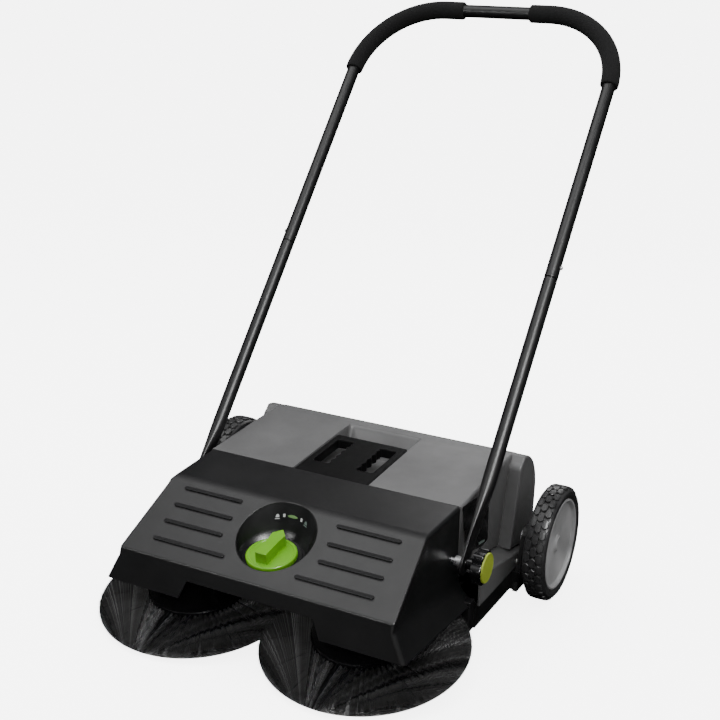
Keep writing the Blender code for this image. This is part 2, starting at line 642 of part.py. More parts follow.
def build_wheel(side, sign):
    centre = Vector((0, WHEEL.y, WHEEL.z))
    axis = Vector((sign, 0, 0))
    r, w0, w1 = WHEEL_RADIUS, TYRE_INNER, TYRE_OUTER
    bore = RIM_RADIUS + GAP
    tyre = [(bore, w0 + 0.002), (bore, w1 - 0.001), (r - 0.010, w1), (r - 0.003, w1 - 0.004), (r, w1 - 0.010),
            (r, w0 + 0.010), (r - 0.003, w0 + 0.003), (r - 0.010, w0)]
    turned(f"tyre_{side}", tyre, centre, axis, RUBBER, sides=32)
    hub_bore, boss = AXLE_RADIUS + 0.0003, 0.0160
    rim = [(hub_bore, w0 + 0.002), (hub_bore, w1 - 0.012), (boss, w1 - 0.010), (RIM_RADIUS - 0.008, w1 - 0.0065),
           (RIM_RADIUS - 0.004, w1 - 0.0015), (RIM_RADIUS, w1 - 0.0015), (RIM_RADIUS, w0 + 0.003),
           (RIM_RADIUS - 0.004, w0 + 0.003), (RIM_RADIUS - 0.006, w1 - 0.0115), (boss, w1 - 0.0145),
           (boss, w0 + 0.002)]
    turned(f"wheel_rim_{side}", rim, centre, axis, GREY, sides=32)
    low, high = sorted((sign * GEAR_X[0], sign * GEAR_X[1]))
    outline = [(WHEEL.y + y, WHEEL.z + z) for y, z in gear_outline(WHEEL_TEETH, PINION_DIRECTION)]
    plate(f"wheel_gear_{side}", [outline, circle(boss + GAP, 24, (WHEEL.y, WHEEL.z))], "X", low, high, BLACK)
    head, end = EAR[0] - GAP, w1 - 0.0150
    bolt = [(0, head - 0.0042), (0.0115, head - 0.0042), (0.0115, head), (AXLE_RADIUS, head), (AXLE_RADIUS, end),
            (0, end)]
    solid_disc(f"axle_{side}", bolt, centre, axis, STEEL, sides=16)


def build_pinion_shaft(side, sign):
    pinion = [(REAR_SHAFT.y + y, REAR_SHAFT.z + z)
              for y, z in gear_outline(PINION_TEETH, PINION_DIRECTION + pi + pi / PINION_TEETH)]
    low, high = sorted((sign * (GEAR_X[0] + 0.0005), sign * (GEAR_X[1] - 0.0005)))
    gear = plate(f"pinion_shaft_{side}", [pinion], "X", low, high, WHITE)
    start = Vector((sign * (BELT_X - PULLEY_WIDTH / 2 - 0.002), REAR_SHAFT.y, REAR_SHAFT.z))
    end = Vector((sign * (GEAR_X[1] + 0.003), REAR_SHAFT.y, REAR_SHAFT.z))
    join(gear, rod(f"pinion_rod_{side}", start, end, SHAFT_RADIUS, sides=12, helper=True))
    build_pulley(f"rear_pulley_{side}", REAR_SHAFT, sign)


def build_pulley(name, at, sign):
    centre = Vector((sign * (BELT_X - PULLEY_WIDTH / 2), at.y, at.z))
    inner, outer = PULLEY_GROOVE, PULLEY_FLANGE
    bore, w = SHAFT_RADIUS + GAP, PULLEY_WIDTH
    profile = [(bore, 0), (outer, 0), (outer, 0.0008), (inner, 0.0012), (inner, w - 0.0012), (outer, w - 0.0008),
               (outer, w), (bore, w)]
    turned(name, profile, centre, Vector((sign, 0, 0)), BLACK, sides=16)


def build_belt(side, sign):
    """Flat belt in one plane round both pulleys."""
    rear, front = (REAR_SHAFT.y, REAR_SHAFT.z), (JACKSHAFT.y, JACKSHAFT.z)
    lean = degrees(atan2(front[1] - rear[1], front[0] - rear[0]))
    loops = []
    for radius in (PULLEY_GROOVE + GAP + BELT_THICK * 0.6, PULLEY_GROOVE + GAP):
        loops.append(arc(rear, radius, lean + 90, lean + 270, 8) + arc(front, radius, lean - 90, lean + 90, 8))
    low, high = sorted((sign * (BELT_X - 0.0028), sign * (BELT_X + 0.0028)))
    plate(f"drive_belt_{side}", loops, "X", low, high, RUBBER)


def bevel_rings(teeth, mate, turn, apex, axis, zero, face):
    """Rings of a straight bevel gear: tooth outline at the large end and at the small end, cut from one apex."""
    pitch_angle = atan(teeth / mate)
    large = GEAR_MODULE * hypot(teeth, mate) / 2
    side_way = axis.cross(zero)
    pitch_half = pi / teeth / 2 - 0.0002 / (GEAR_MODULE * teeth / 2)
    rings = []
    for distance in (large, large - face):
        scale = distance / large
        ring = []
        for tooth in range(teeth):
            middle = turn + 2 * pi * tooth / teeth
            for proud, spread in ((-1.15, 1.45), (0.8, 0.55), (0.8, -0.55), (-1.15, -1.45)):
                a = middle - pitch_half * spread
                out = distance * sin(pitch_angle) + scale * proud * GEAR_MODULE * cos(pitch_angle)
                back = distance * cos(pitch_angle) - scale * proud * GEAR_MODULE * sin(pitch_angle)
                ring.append(apex - axis * back + (zero * cos(a) + side_way * sin(a)) * out)
        rings.append(ring)
    return rings


def ring_about(centre, axis, zero, radius, sides, turn=0.0):
    side_way = axis.cross(zero)
    return [centre + (zero * cos(turn + 2 * pi * i / sides) + side_way * sin(turn + 2 * pi * i / sides)) * radius
            for i in range(sides)]


def build_brush(side, sign):
    centre = Vector((sign * BRUSH.x, BRUSH.y, BRUSH.z))
    apex = centre + BRUSH_AXIS * BEVEL_APEX
    outward = Vector((sign, 0, 0))
    (foot_r, foot_h), (top_r, top_h) = HUB_FOOT, HUB_TOP
    wall, boss, bore = 0.003, 0.014, SPINDLE_RADIUS + GAP
    hub = [(bore, 0.010), (foot_r - 0.012, 0.010), (foot_r, 0.017), (foot_r, foot_h), (top_r, top_h),
           (top_r - wall, top_h), (foot_r - wall, foot_h), (foot_r - 0.012, 0.014), (boss, 0.014), (boss, 0.050),
           (bore, 0.050)]
    turned(f"brush_hub_{side}", hub, centre, BRUSH_AXIS, BLACK, sides=28)
    bristles = [(foot_r + GAP, 0.0235), (BRUSH_RADIUS, 0.0020), (BRUSH_RADIUS, -0.0010), (foot_r + GAP, 0.0175)]
    turned(f"bristle_ring_{side}", bristles, centre, BRUSH_AXIS, RUBBER, sides=40)
    # The crown gear and the spindle are one moulding, so its rings run on down to the spindle's lower end.
    crown = bevel_rings(CROWN_TEETH, BEVEL_TEETH, 0.0, apex, BRUSH_AXIS, outward, BEVEL_FACE)
    pitch_h = BEVEL_APEX - GEAR_MODULE * BEVEL_TEETH / 2
    spindle_rings = [
        crown[0],
        crown[1],
        ring_about(centre + BRUSH_AXIS * (pitch_h + 0.001), BRUSH_AXIS, outward, SPINDLE_RADIUS, CROWN_TEETH // 2),
        ring_about(centre + BRUSH_AXIS * 0.121, BRUSH_AXIS, outward, SPINDLE_RADIUS, CROWN_TEETH // 2),
    ]
    lower_rings = [
        ring_about(centre + BRUSH_AXIS * 0.004, BRUSH_AXIS, outward, SPINDLE_RADIUS, CROWN_TEETH // 2),
        ring_about(centre + BRUSH_AXIS * 0.0505, BRUSH_AXIS, outward, SPINDLE_RADIUS, CROWN_TEETH // 2),
        ring_about(centre + BRUSH_AXIS * 0.0700, BRUSH_AXIS, outward, 0.0160, CROWN_TEETH // 2),
    ]
    skin(f"crown_spindle_{side}", lower_rings + spindle_rings, WHITE)
    along = -outward
    pinion = bevel_rings(BEVEL_TEETH, CROWN_TEETH, pi / BEVEL_TEETH, apex, along, -BRUSH_AXIS, BEVEL_FACE)
    pitch_x = GEAR_MODULE * CROWN_TEETH / 2
    near = apex + outward * (pitch_x - BEVEL_FACE)
    far = apex + outward * (pitch_x + 0.004)
    bore_rings = [ring_about(near, along, -BRUSH_AXIS, SHAFT_RADIUS + GAP, BEVEL_TEETH),
                  ring_about(far, along, -BRUSH_AXIS, SHAFT_RADIUS + GAP, BEVEL_TEETH),
                  ring_about(far, along, -BRUSH_AXIS, 0.0085, BEVEL_TEETH)]
    skin(f"bevel_pinion_{side}", pinion + bore_rings, WHITE, loop=True)
    shaft_end = BELT_X + PULLEY_WIDTH / 2 + 0.001
    start = Vector((sign * (BRUSH.x + pitch_x - BEVEL_FACE - 0.002), apex.y, apex.z))
    rod(f"jackshaft_{side}", start, (sign * shaft_end, apex.y, apex.z), SHAFT_RADIUS, STEEL, sides=12)
    build_pulley(f"front_pulley_{side}", JACKSHAFT, sign)
    bush = [(SPINDLE_RADIUS + 0.0005, 0.1000), (0.0145, 0.1000), (0.0145, 0.1025), (0.0100, 0.1030), (0.0100, 0.1230),
            (SPINDLE_RADIUS + 0.0005, 0.1230)]
    turned(f"spindle_bush_{side}", bush, centre, BRUSH_AXIS, WHITE, sides=20)


# ---------------------------------------------------------------- height setting


def build_height_setting():
    top = BOWL_FLOOR + KNOB_AXIS * (GAP + 0.0005)
    grip_top = KNOB_THICK + GRIP_HEIGHT
    base = solid_disc(
        "height_knob",
        [(0, KNOB_THICK + 0.0012), (KNOB_RADIUS - 0.004, KNOB_THICK), (KNOB_RADIUS - 0.001, KNOB_THICK - 0.002),
         (KNOB_RADIUS, 0.001), (KNOB_RADIUS - 0.001, 0), (0, 0)],
        top, KNOB_AXIS, GREEN, sides=40,
    )
    frame = Matrix.Translation(top) @ Matrix.Rotation(KNOB_TILT, 4, "X")
    arrow = [(0, 0.0410), (-0.0125, 0.0265), (-0.0105, 0.0080), (-0.0105, -0.0310), (0.0105, -0.0310),
             (0.0105, 0.0080), (0.0125, 0.0265)]
    join(base, plate("knob_grip", [arrow], "Z", 0.004, grip_top, helper=True, frame=frame))
    cam_centre = BOWL_FLOOR - KNOB_AXIS * CAM_DROP
    shaft = solid_disc(
        "knob_shaft",
        [(0, CAM_DROP + GAP), (0.006, CAM_DROP + GAP), (0.006, 0.014), (CAM_RADIUS, 0.014), (CAM_RADIUS, -0.020),
         (0, -0.020)],
        cam_centre, KNOB_AXIS, BLACK, sides=24,
    )
    slant = block("cam_slant", (-0.08, -0.08, -0.08), (0.08, 0.08, 0), helper=True)
    slant.matrix_local = (
        Matrix.Translation(cam_centre) @ Matrix.Rotation(KNOB_TILT, 4, "X") @ Matrix.Rotation(CAM_SLANT, 4, "Y")
    )
    cut(shaft, slant)


def build_roller_arm():
    finger = BOWL_FLOOR - KNOB_AXIS * CAM_DROP + Vector((0, cos(KNOB_TILT), sin(KNOB_TILT))) * CAM_FINGER
    tip = (finger.y, finger.z - 0.0080)
    py, pz = ARM_PIVOT.y, ARM_PIVOT.z
    beam = [(py + 0.006, pz - 0.004), (py + 0.006, pz + 0.004), (py, pz + 0.0055), (tip[0] + 0.014, tip[1]),
            (tip[0] - 0.005, tip[1]), (tip[0] - 0.005, tip[1] - 0.008), (py, pz - 0.0055)]
    arm = plate("roller_arm", [beam], "X", -0.006, 0.006, BLACK)
    foot, head = (0, tip[0], tip[1] - 0.004), (0, tip[0], finger.z - 0.0022)
    join(arm, rod("finger", foot, head, 0.0022, sides=12, helper=True))
    front, rear = ROLLER.y - 0.010, ROLLER.y + 0.012
    yoke = [(front, 0.103), (rear, 0.100), (rear, 0.112), (front, 0.116)]
    join(arm, plate("yoke", [yoke], "X", -0.0170, 0.0170, helper=True))
    for side, sign in SIDES.items():
        low, high = sorted((sign * 0.0130, sign * 0.0170))
        cheek = [(ROLLER.y - 0.010, 0.110), (ROLLER.y + 0.010, 0.108)] + arc((ROLLER.y, ROLLER.z), 0.009, 0, -180, 6)
        join(arm, plate(f"cheek_{side}", [cheek], "X", low, high, helper=True))
    boss = rod("arm_boss", ARM_PIVOT - Vector((0.019, 0, 0)), ARM_PIVOT + Vector((0.019, 0, 0)), 0.0060, sides=16,
               helper=True)
    pin_way = rod("pivot_way", ARM_PIVOT - Vector((0.03, 0, 0)), ARM_PIVOT + Vector((0.03, 0, 0)), 0.0036,
                  sides=12, helper=True)
    roller_way = rod("roller_way", ROLLER - Vector((0.03, 0, 0)), ROLLER + Vector((0.03, 0, 0)), 0.0033,
                     sides=12, helper=True)
    join(arm, boss)
    cut(arm, pin_way, roller_way)
    rod("arm_pin", ARM_PIVOT - Vector((0.0270, 0, 0)), ARM_PIVOT + Vector((0.0270, 0, 0)), 0.0030, STEEL, sides=12)
    rod("roller_pin", ROLLER - Vector((0.0190, 0, 0)), ROLLER + Vector((0.0190, 0, 0)), 0.0030, STEEL, sides=12)
    h, r = ROLLER_HALF, ROLLER_RADIUS
    turned("support_roller", [(0.0034, -h), (r - 0.002, -h), (r, -h + 0.002), (r, h - 0.002), (r - 0.002, h),
                              (0.0034, h)], ROLLER, Vector((1, 0, 0)), GREY, sides=28)


# ---------------------------------------------------------------- push handle


def leg_point(along, x=0.0, out=0.0):
    """A point so far up the leg from the pivot, and so far forward of the leg's line."""
    return PIVOT + LEG * along + Vector((x, -LEG.z * out, LEG.y * out))


def build_lower_tube(side, sign):
    """One tube: flattened at the pivot, round above, and reduced at the top where the bow slides over it."""
    stations = [(-0.022, 0), (0.030, 0), (0.060, 0.15), (0.090, 0.55), (0.125, 0.9), (0.150, 1), (0.340, 1),
                (JOINT_AT - 0.002, 1), (JOINT_AT, 2), (INSERT_END, 2)]
    sides = 12
    rings = []
    for along, round_share in stations:
        radius = INSERT_RADIUS if round_share == 2 else TUBE_RADIUS
        share = min(round_share, 1)
        half_x = PLATE_THICK / 2 + share * (radius - PLATE_THICK / 2)
        half_w = PLATE_WIDTH / 2 + share * (radius - PLATE_WIDTH / 2)
        power = 0.35 + 0.65 * share
        ring = []
        for i in range(sides):
            a = 2 * pi * (i + 0.5) / sides
            x = abs(cos(a)) ** power * (1 if cos(a) > 0 else -1)
            w = abs(sin(a)) ** (0.75 + 0.25 * share) * (1 if sin(a) > 0 else -1)
            ring.append(leg_point(along, sign * LEG_X + half_x * x, half_w * w))
        rings.append(ring)
    bm = bmesh.new()
    loops = [[bm.verts.new(point) for point in ring] for ring in rings]
    for a, b in zip(loops, loops[1:]):
        bridged(bm, a, b)
    tube = from_bmesh(bm, f"lower_tube_{side}", TUBE)
    solidify = tube.modifiers.new("wall", "SOLIDIFY")
    solidify.thickness = TUBE_WALL
    solidify.offset = -1
    pivot_way = rod(f"plate_hole_{side}", PIVOT + Vector((sign * 0.26, 0, 0)), PIVOT + Vector((sign * 0.28, 0, 0)),
                    0.0044, sides=12, helper=True)
    cut(tube, pivot_way, button_way(side, sign, "lower"))


def button_way(side, sign, name):
    at = leg_point(BUTTON_AT)
    start, end = Vector((sign * (LEG_X + 0.003), at.y, at.z)), Vector((sign * (LEG_X + 0.020), at.y, at.z))
    return rod(f"button_hole_{name}_{side}", start, end, BUTTON_RADIUS + 0.0004, sides=12, helper=True)


def bend(steps=12):
    """Centre line of the handle's right bend, from the top of the leg to the start of the top bar."""
    centre = (LEG_X - BEND_RADIUS, BAR_AT - BEND_RADIUS)
    return arc(centre, BEND_RADIUS, 0, 90, steps)


def sleeve(name, points, radius, wall, look):
    """Hollow tube along points in the plane of the handle."""
    curve = bpy.data.curves.new(name, "CURVE")
    curve.dimensions = "3D"
    curve.bevel_depth = radius
    curve.bevel_resolution = 2
    spline = curve.splines.new("POLY")
    spline.points.add(len(points) - 1)
    for point, (x, along) in zip(spline.points, points):
        point.co = (*leg_point(along, x), 1)
    maker = bpy.data.objects.new(name + "_curve", curve)
    cutters.objects.link(maker)
    bpy.context.view_layer.update()
    graph = bpy.context.evaluated_depsgraph_get()
    mesh = bpy.data.meshes.new_from_object(maker.evaluated_get(graph))
    bpy.data.objects.remove(maker)
    mesh.materials.clear()
    made = place(mesh, name, look)
    solidify = made.modifiers.new("wall", "SOLIDIFY")
    solidify.thickness = wall
    solidify.offset = -1
    solidify.use_even_offset = True
    return made


def build_handle():
    for side, sign in SIDES.items():
        build_lower_tube(side, sign)
    half = [(LEG_X, JOINT_AT + 0.001)] + bend()
    path = half + [(-x, s) for x, s in half[::-1]]
    bow = sleeve("upper_bow", path, TUBE_RADIUS, TUBE_WALL, TUBE)
    for side, sign in SIDES.items():
        cut(bow, button_way(side, sign, "upper"))
        foam = [(sign * x, s) for x, s in bend() + [(FOAM_END_X, BAR_AT)]]
        sleeve(f"foam_grip_{side}", foam, FOAM_RADIUS, FOAM_WALL, FOAM)
        at = leg_point(BUTTON_AT)
        centre = Vector((0, at.y, at.z))
        r = BUTTON_RADIUS
        solid_disc(
            f"snap_button_{side}",
            [(0, LEG_X + 0.0165), (r * 0.6, LEG_X + 0.0160), (r, LEG_X + 0.0145), (r, LEG_X + 0.0010),
             (0, LEG_X + 0.0010)],
            centre, Vector((sign, 0, 0)), STEEL, sides=12,
        )
        build_pivot(side, sign)


def build_pivot(side, sign):
    centre = Vector((0, PIVOT.y, PIVOT.z))
    axis = Vector((sign, 0, 0))
    solid_disc(
        f"pivot_bolt_{side}",
        [(0, 0.3000), (0.0040, 0.3000), (0.0040, 0.2660), (0.0085, 0.2660), (0.0085, 0.2540), (0.0040, 0.2540),
         (0.0040, 0.2430), (0, 0.2430)],
        centre, axis, STEEL, sides=16,
    )
    lobes = 6
    outline = []
    for i in range(lobes * 5):
        a = 2 * pi * i / (lobes * 5)
        radius = 0.0272 + 0.0028 * cos(lobes * a)
        outline.append((PIVOT.y + radius * cos(a), PIVOT.z + radius * sin(a)))
    low, high = sorted((sign * 0.2900, sign * 0.3085))
    knob = plate(f"clamp_knob_{side}", [outline], "X", low, high, BLACK)
    join(knob, rod(f"knob_boss_{side}", (sign * 0.2745, 0, PIVOT.z), (sign * 0.295, 0, PIVOT.z), 0.0095, sides=16,
                   helper=True))
    cut(knob, rod(f"knob_bore_{side}", (sign * 0.270, 0, PIVOT.z), (sign * 0.3020, 0, PIVOT.z), 0.0044, sides=12,
                  helper=True))
    solid_disc(f"knob_cap_{side}", [(0, 0.3115), (0.0235, 0.3112), (0.0255, 0.3100), (0.0255, 0.3088), (0, 0.3088)],
               centre, axis, GREEN, sides=32)


# ---------------------------------------------------------------- the whole machine

build_hood()
build_carry_handle()
build_chassis()
build_skirts()
block("dirt_lip", (-0.1040, 0.0355, 0.0030), (0.1040, 0.0390, 0.0200), RUBBER)
build_hopper()
for side, sign in SIDES.items():
    build_wheel(side, sign)
    build_pinion_shaft(side, sign)
    build_belt(side, sign)
    build_brush(side, sign)
build_height_setting()
build_roller_arm()
build_handle()
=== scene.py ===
"""Looks of a walk-behind floor sweeper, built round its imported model.

Metres. Most pieces are made in the machine's own frame: X to the machine's side, Y to the rear from the
handle's pivot, Z up from the floor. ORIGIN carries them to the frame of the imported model.
"""

import random
from math import atan2, cos, pi, radians, sin, tan

import bmesh
import bpy
from mathutils import Matrix, Vector


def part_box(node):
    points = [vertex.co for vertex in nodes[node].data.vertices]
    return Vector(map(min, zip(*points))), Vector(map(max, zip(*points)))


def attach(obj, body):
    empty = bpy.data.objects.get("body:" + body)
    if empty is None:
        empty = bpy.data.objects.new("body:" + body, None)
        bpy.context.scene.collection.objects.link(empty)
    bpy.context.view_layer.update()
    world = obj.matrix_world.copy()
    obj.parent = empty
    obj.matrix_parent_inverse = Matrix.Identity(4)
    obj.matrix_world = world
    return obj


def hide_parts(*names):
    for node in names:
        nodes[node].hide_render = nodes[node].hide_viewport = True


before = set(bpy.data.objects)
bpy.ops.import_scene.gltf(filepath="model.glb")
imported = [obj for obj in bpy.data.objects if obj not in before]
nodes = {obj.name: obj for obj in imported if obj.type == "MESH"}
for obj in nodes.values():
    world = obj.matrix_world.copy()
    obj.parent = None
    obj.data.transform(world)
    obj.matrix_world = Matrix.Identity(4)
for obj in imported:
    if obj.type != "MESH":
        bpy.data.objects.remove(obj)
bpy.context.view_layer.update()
scene = bpy.context.scene
SIDES = {"left": -1, "right": 1}
rng = random.Random(7)
MERGE = 1e-6


def middle(node):
    low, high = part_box(node)
    return (low + high) / 2


# ---------------- places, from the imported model

PIVOT_Y = middle("pivot_bolt_right").y
ORIGIN = Matrix.Translation((0, PIVOT_Y, 0))


def local_box(node):
    """A node's box in the machine's own frame."""
    low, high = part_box(node)
    back = Vector((0, -PIVOT_Y, 0))
    return low + back, high + back


hood_high = local_box("front_hood")[1]
hopper_low, hopper_high = local_box("hopper")
carry_low, carry_high = local_box("carry_handle")
skirt_low, skirt_high = local_box("side_skirt_right")
tyre_low, tyre_high = local_box("tyre_right")
rim_low, rim_high = local_box("wheel_rim_right")
CLAMP_FACE = local_box("clamp_knob_right")[1].x
PIVOT = Vector((0, 0, middle("pivot_bolt_right").z))
WHEEL = Vector((0, (tyre_low.y + tyre_high.y) / 2, (tyre_low.z + tyre_high.z) / 2))
WHEEL_RADIUS = (tyre_high.z - tyre_low.z) / 2
TYRE_HALF = (tyre_high.x - tyre_low.x) / 2
WHEEL_MIDDLE = (tyre_low.x + tyre_high.x) / 2
RIM_RADIUS = (rim_high.z - rim_low.z) / 2

# Hood: its edges on the middle plane, and half its width at each
HOOD_REAR, HOOD_REAR_HALF = Vector((0, 0.0262, hood_high.z)), 0.2455
HOOD_CREASE, HOOD_CREASE_HALF = Vector((0, -0.094, 0.227)), 0.242
HOOD_LOW, HOOD_LOW_HALF = Vector((0, -0.231, 0.1416)), 0.2555
HOOD_TOE = Vector((hood_high.x, -0.239, 0.083))
WALL, HOOD_BEVEL = 0.003, 0.02
NOTCH_HALF, NOTCH_FOOT, NOTCH_TOP = 0.118, 0.132, 0.115
SLOPE = atan2(HOOD_CREASE.z - HOOD_LOW.z, HOOD_CREASE.y - HOOD_LOW.y)
DOWN_SLOPE = Vector((0, -cos(SLOPE), -sin(SLOPE)))
OFF_SLOPE = Vector((0, -sin(SLOPE), cos(SLOPE)))

# Dial bowl and its knob
BOWL_RADIUS, BOWL_FLOOR_RADIUS = 0.068, 0.056
BOWL_CENTRE = HOOD_CREASE + DOWN_SLOPE * 0.067
BOWL_FLOOR = Vector((0, -0.163, 0.158))
KNOB_TILT = radians(11.5)
KNOB_AXIS = Vector((0, -sin(KNOB_TILT), cos(KNOB_TILT)))
KNOB_UP = Vector((0, cos(KNOB_TILT), sin(KNOB_TILT)))
KNOB_RADIUS, KNOB_THICK, GRIP_HEIGHT = 0.0425, 0.009, 0.019

# Push handle
LEG_X, LEG_LEAN = 0.27, radians(51.8)
LEG = Vector((0, cos(LEG_LEAN), sin(LEG_LEAN)))
LEG_FRONT = Vector((0, -sin(LEG_LEAN), cos(LEG_LEAN)))
TUBE_RADIUS = 0.0125
JOINT_AT, BUTTON_AT, BAR_AT, BEND_RADIUS = 0.528, 0.552, 1.0945, 0.159
FOAM_RADIUS, FOAM_END_X = 0.0176, 0.0707

# Brushes
BRUSH = Vector((0.16, -0.134, 0.0335))
BRUSH_TILT = radians(9.1)
BRUSH_AXIS = Vector((0, -sin(BRUSH_TILT), cos(BRUSH_TILT)))
HUB_FOOT, HUB_TOP = (0.087, 0.024), (0.074, 0.082)


# ---------------- mesh tools


def mix(a, b, share):
    return a + (b - a) * share


def quarter(steps):
    """The angles of a quarter turn in even steps, both ends included."""
    return [pi / 2 * k / steps for k in range(steps + 1)]


def full_turn(steps, shift=0.0):
    return [2 * pi * (k + shift) / steps for k in range(steps)]


def rounded(corners, closed=True, steps=5):
    """A flat outline whose corners (u, v, radius) are rounded."""
    points = []
    count = len(corners)
    for i, (u, v, radius) in enumerate(corners):
        here = Vector((u, v))
        if radius == 0 or (not closed and i in (0, count - 1)):
            points.append(here)
            continue
        back = (Vector(corners[i - 1][:2]) - here).normalized()
        ahead = (Vector(corners[(i + 1) % count][:2]) - here).normalized()
        half = back.angle(ahead) / 2
        reach = radius / tan(half)
        centre = here + (back + ahead).normalized() * (radius / sin(half))
        start, end = here + back * reach - centre, here + ahead * reach - centre
        first = atan2(start.y, start.x)
        sweep = (atan2(end.y, end.x) - first + pi) % (2 * pi) - pi
        for k in range(steps + 1):
            a = first + sweep * k / steps
            points.append(centre + Vector((cos(a), sin(a))) * radius)
    return points


def inset(outline, distance):
    """The outline moved inwards all along, for an outline that runs anticlockwise."""
    moved = []
    count = len(outline)
    for i, here in enumerate(outline):
        a = (here - outline[i - 1]).normalized()
        b = (outline[(i + 1) % count] - here).normalized()
        normal = Vector((-a.y - b.y, a.x + b.x)).normalized()
        moved.append(here + normal * (distance / max(0.3, normal.dot(Vector((-a.y, a.x))))))
    return moved


def skin(bm, pairs):
    """Faces between each pair of rings of vertices."""
    for a, b in pairs:
        for i in range(len(a)):
            j = (i + 1) % len(a)
            bm.faces.new((a[i], a[j], b[j], b[i]))


def loft(rings, loop=False):
    """Surface through rings of equally many points. A loop joins the last ring to the first."""
    bm = bmesh.new()
    rows = [[bm.verts.new(point) for point in ring] for ring in rings]
    skin(bm, zip(rows, rows[1:]))
    if loop:
        skin(bm, [(rows[-1], rows[0])])
    else:
        bm.faces.new(rows[0][::-1])
        bm.faces.new(rows[-1])
    return closed_mesh(bm)


def closed_mesh(bm):
    bmesh.ops.remove_doubles(bm, verts=bm.verts, dist=MERGE)
    bmesh.ops.dissolve_degenerate(bm, edges=bm.edges, dist=MERGE)
    bmesh.ops.recalc_face_normals(bm, faces=bm.faces)
    return mesh_of(bm)


def mesh_of(bm):
    mesh = bpy.data.meshes.new("part")
    bm.to_mesh(mesh)
    bm.free()
    return mesh


def axis_frame(at, axis, across=None):
    """Matrix that stands +Z along an axis at a point, with +X as near as may be to across."""
    z = Vector(axis).normalized()
    x = Vector(across) if across else z.orthogonal()
    x = (x - z * x.dot(z)).normalized()
    turn = Matrix((x, z.cross(x), z)).transposed().to_4x4()
    return Matrix.Translation(at) @ turn


def lathe(profile, at, axis, steps=64):
    """A closed profile of (radius, height) points, turned about an axis. Points on the axis become one."""
    mesh = loft([[Vector((r * cos(a), r * sin(a), h)) for r, h in profile] for a in full_turn(steps)],
                loop=True)
    mesh.transform(axis_frame(at, axis))
    return mesh


def slab(outline, low, high, edge=0.0):
    """A flat outline given a thickness along Z, with its upper edge rounded if it has an edge radius."""
    rings = [[(*p, low) for p in outline]]
    for a in quarter(4) if edge else [0]:
        rings.append([(*p, high - edge * (1 - sin(a))) for p in inset(outline, edge * (1 - cos(a)))])
    return loft(rings)


def tube(points, radii, sides, normal):
    """Round bar along points, with a radius for each."""
    rings = []
    for i, point in enumerate(points):
        ahead = (points[min(i + 1, len(points) - 1)] - points[max(i - 1, 0)]).normalized()
        side = (normal - ahead * normal.dot(ahead)).normalized()
        up = ahead.cross(side)
        rings.append([point + (side * cos(a) + up * sin(a)) * radii[i] for a in full_turn(sides)])
    return loft(rings)


def joined(*meshes):
    """Several meshes as one, each part as it was."""
    bm = bmesh.new()
    for mesh in meshes:
        bm.from_mesh(mesh)
        bpy.data.meshes.remove(mesh)
    return mesh_of(bm)


def worked(mesh, *steps):
    """The mesh after modifiers, each a type and its settings. A mesh setting becomes a helper object."""
    obj = bpy.data.objects.new("work", mesh)
    scene.collection.objects.link(obj)
    helpers = []
    for kind, settings in steps:
        modifier = obj.modifiers.new(kind, kind)
        for key, value in settings.items():
            if isinstance(value, bpy.types.Mesh):
                value = bpy.data.objects.new("helper", value)
                scene.collection.objects.link(value)
                helpers.append(value)
            setattr(modifier, key, value)
    graph = bpy.context.evaluated_depsgraph_get()
    made = bpy.data.meshes.new_from_object(obj.evaluated_get(graph), depsgraph=graph)
    for helper in (obj, *helpers):
        bpy.data.objects.remove(helper)
    return made


def cut(mesh, *cutters):
    return worked(mesh, *[("BOOLEAN", {"operation": "DIFFERENCE", "object": cutter}) for cutter in cutters])


def merged(mesh, *others):
    return worked(mesh, *[("BOOLEAN", {"operation": "UNION", "object": other}) for other in others])


def mirrored(mesh):
    """A copy on the machine's other side."""
    bm = bmesh.new()
    bm.from_mesh(mesh)
    bmesh.ops.transform(bm, matrix=Matrix.Diagonal((-1, 1, 1, 1)), verts=bm.verts)
    bmesh.ops.reverse_faces(bm, faces=bm.faces)
    return closed_mesh(bm)


def piece(name, mesh, body, look, replaces=(), crease=32, weighted=True, at=ORIGIN):
    """A finished piece: shaded, painted, placed and riding on its body."""
    mesh.name = name
    mesh.shade_smooth()
    mesh.set_sharp_from_angle(angle=radians(crease))
    mesh.materials.clear()
    mesh.materials.append(look)
    obj = bpy.data.objects.new(name, mesh)
    scene.collection.objects.link(obj)
    obj.matrix_world = at
    if weighted:
        normals = obj.modifiers.new("normals", "WEIGHTED_NORMAL")
        normals.keep_sharp = True
        normals.mode = "FACE_AREA"
    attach(obj, body)
    if replaces:
        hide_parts(*replaces)
    return obj


# ---------------- materials


def shader_of(name, colour, roughness, metallic=0.0, **sockets):
    made = bpy.data.materials.new(name)
    made.use_nodes = True
    inputs = made.node_tree.nodes["Principled BSDF"].inputs
    inputs["Base Color"].default_value = (*colour, 1)
    inputs["Roughness"].default_value = roughness
    inputs["Metallic"].default_value = metallic
    for socket, value in sockets.items():
        inputs[socket.replace("_", " ")].default_value = value
    return made


def wired(made, kind, inputs, output, **settings):
    """Adds a node and gives one of its outputs. Its inputs take numbers, colours or other outputs."""
    tree = made.node_tree
    added = tree.nodes.new("ShaderNode" + kind)
    for name, value in settings.items():
        setattr(added, name, value)
    for socket, value in inputs.items():
        if isinstance(value, bpy.types.NodeSocket):
            tree.links.new(value, added.inputs[socket])
        else:
            added.inputs[socket].default_value = value
    return added.outputs[output]


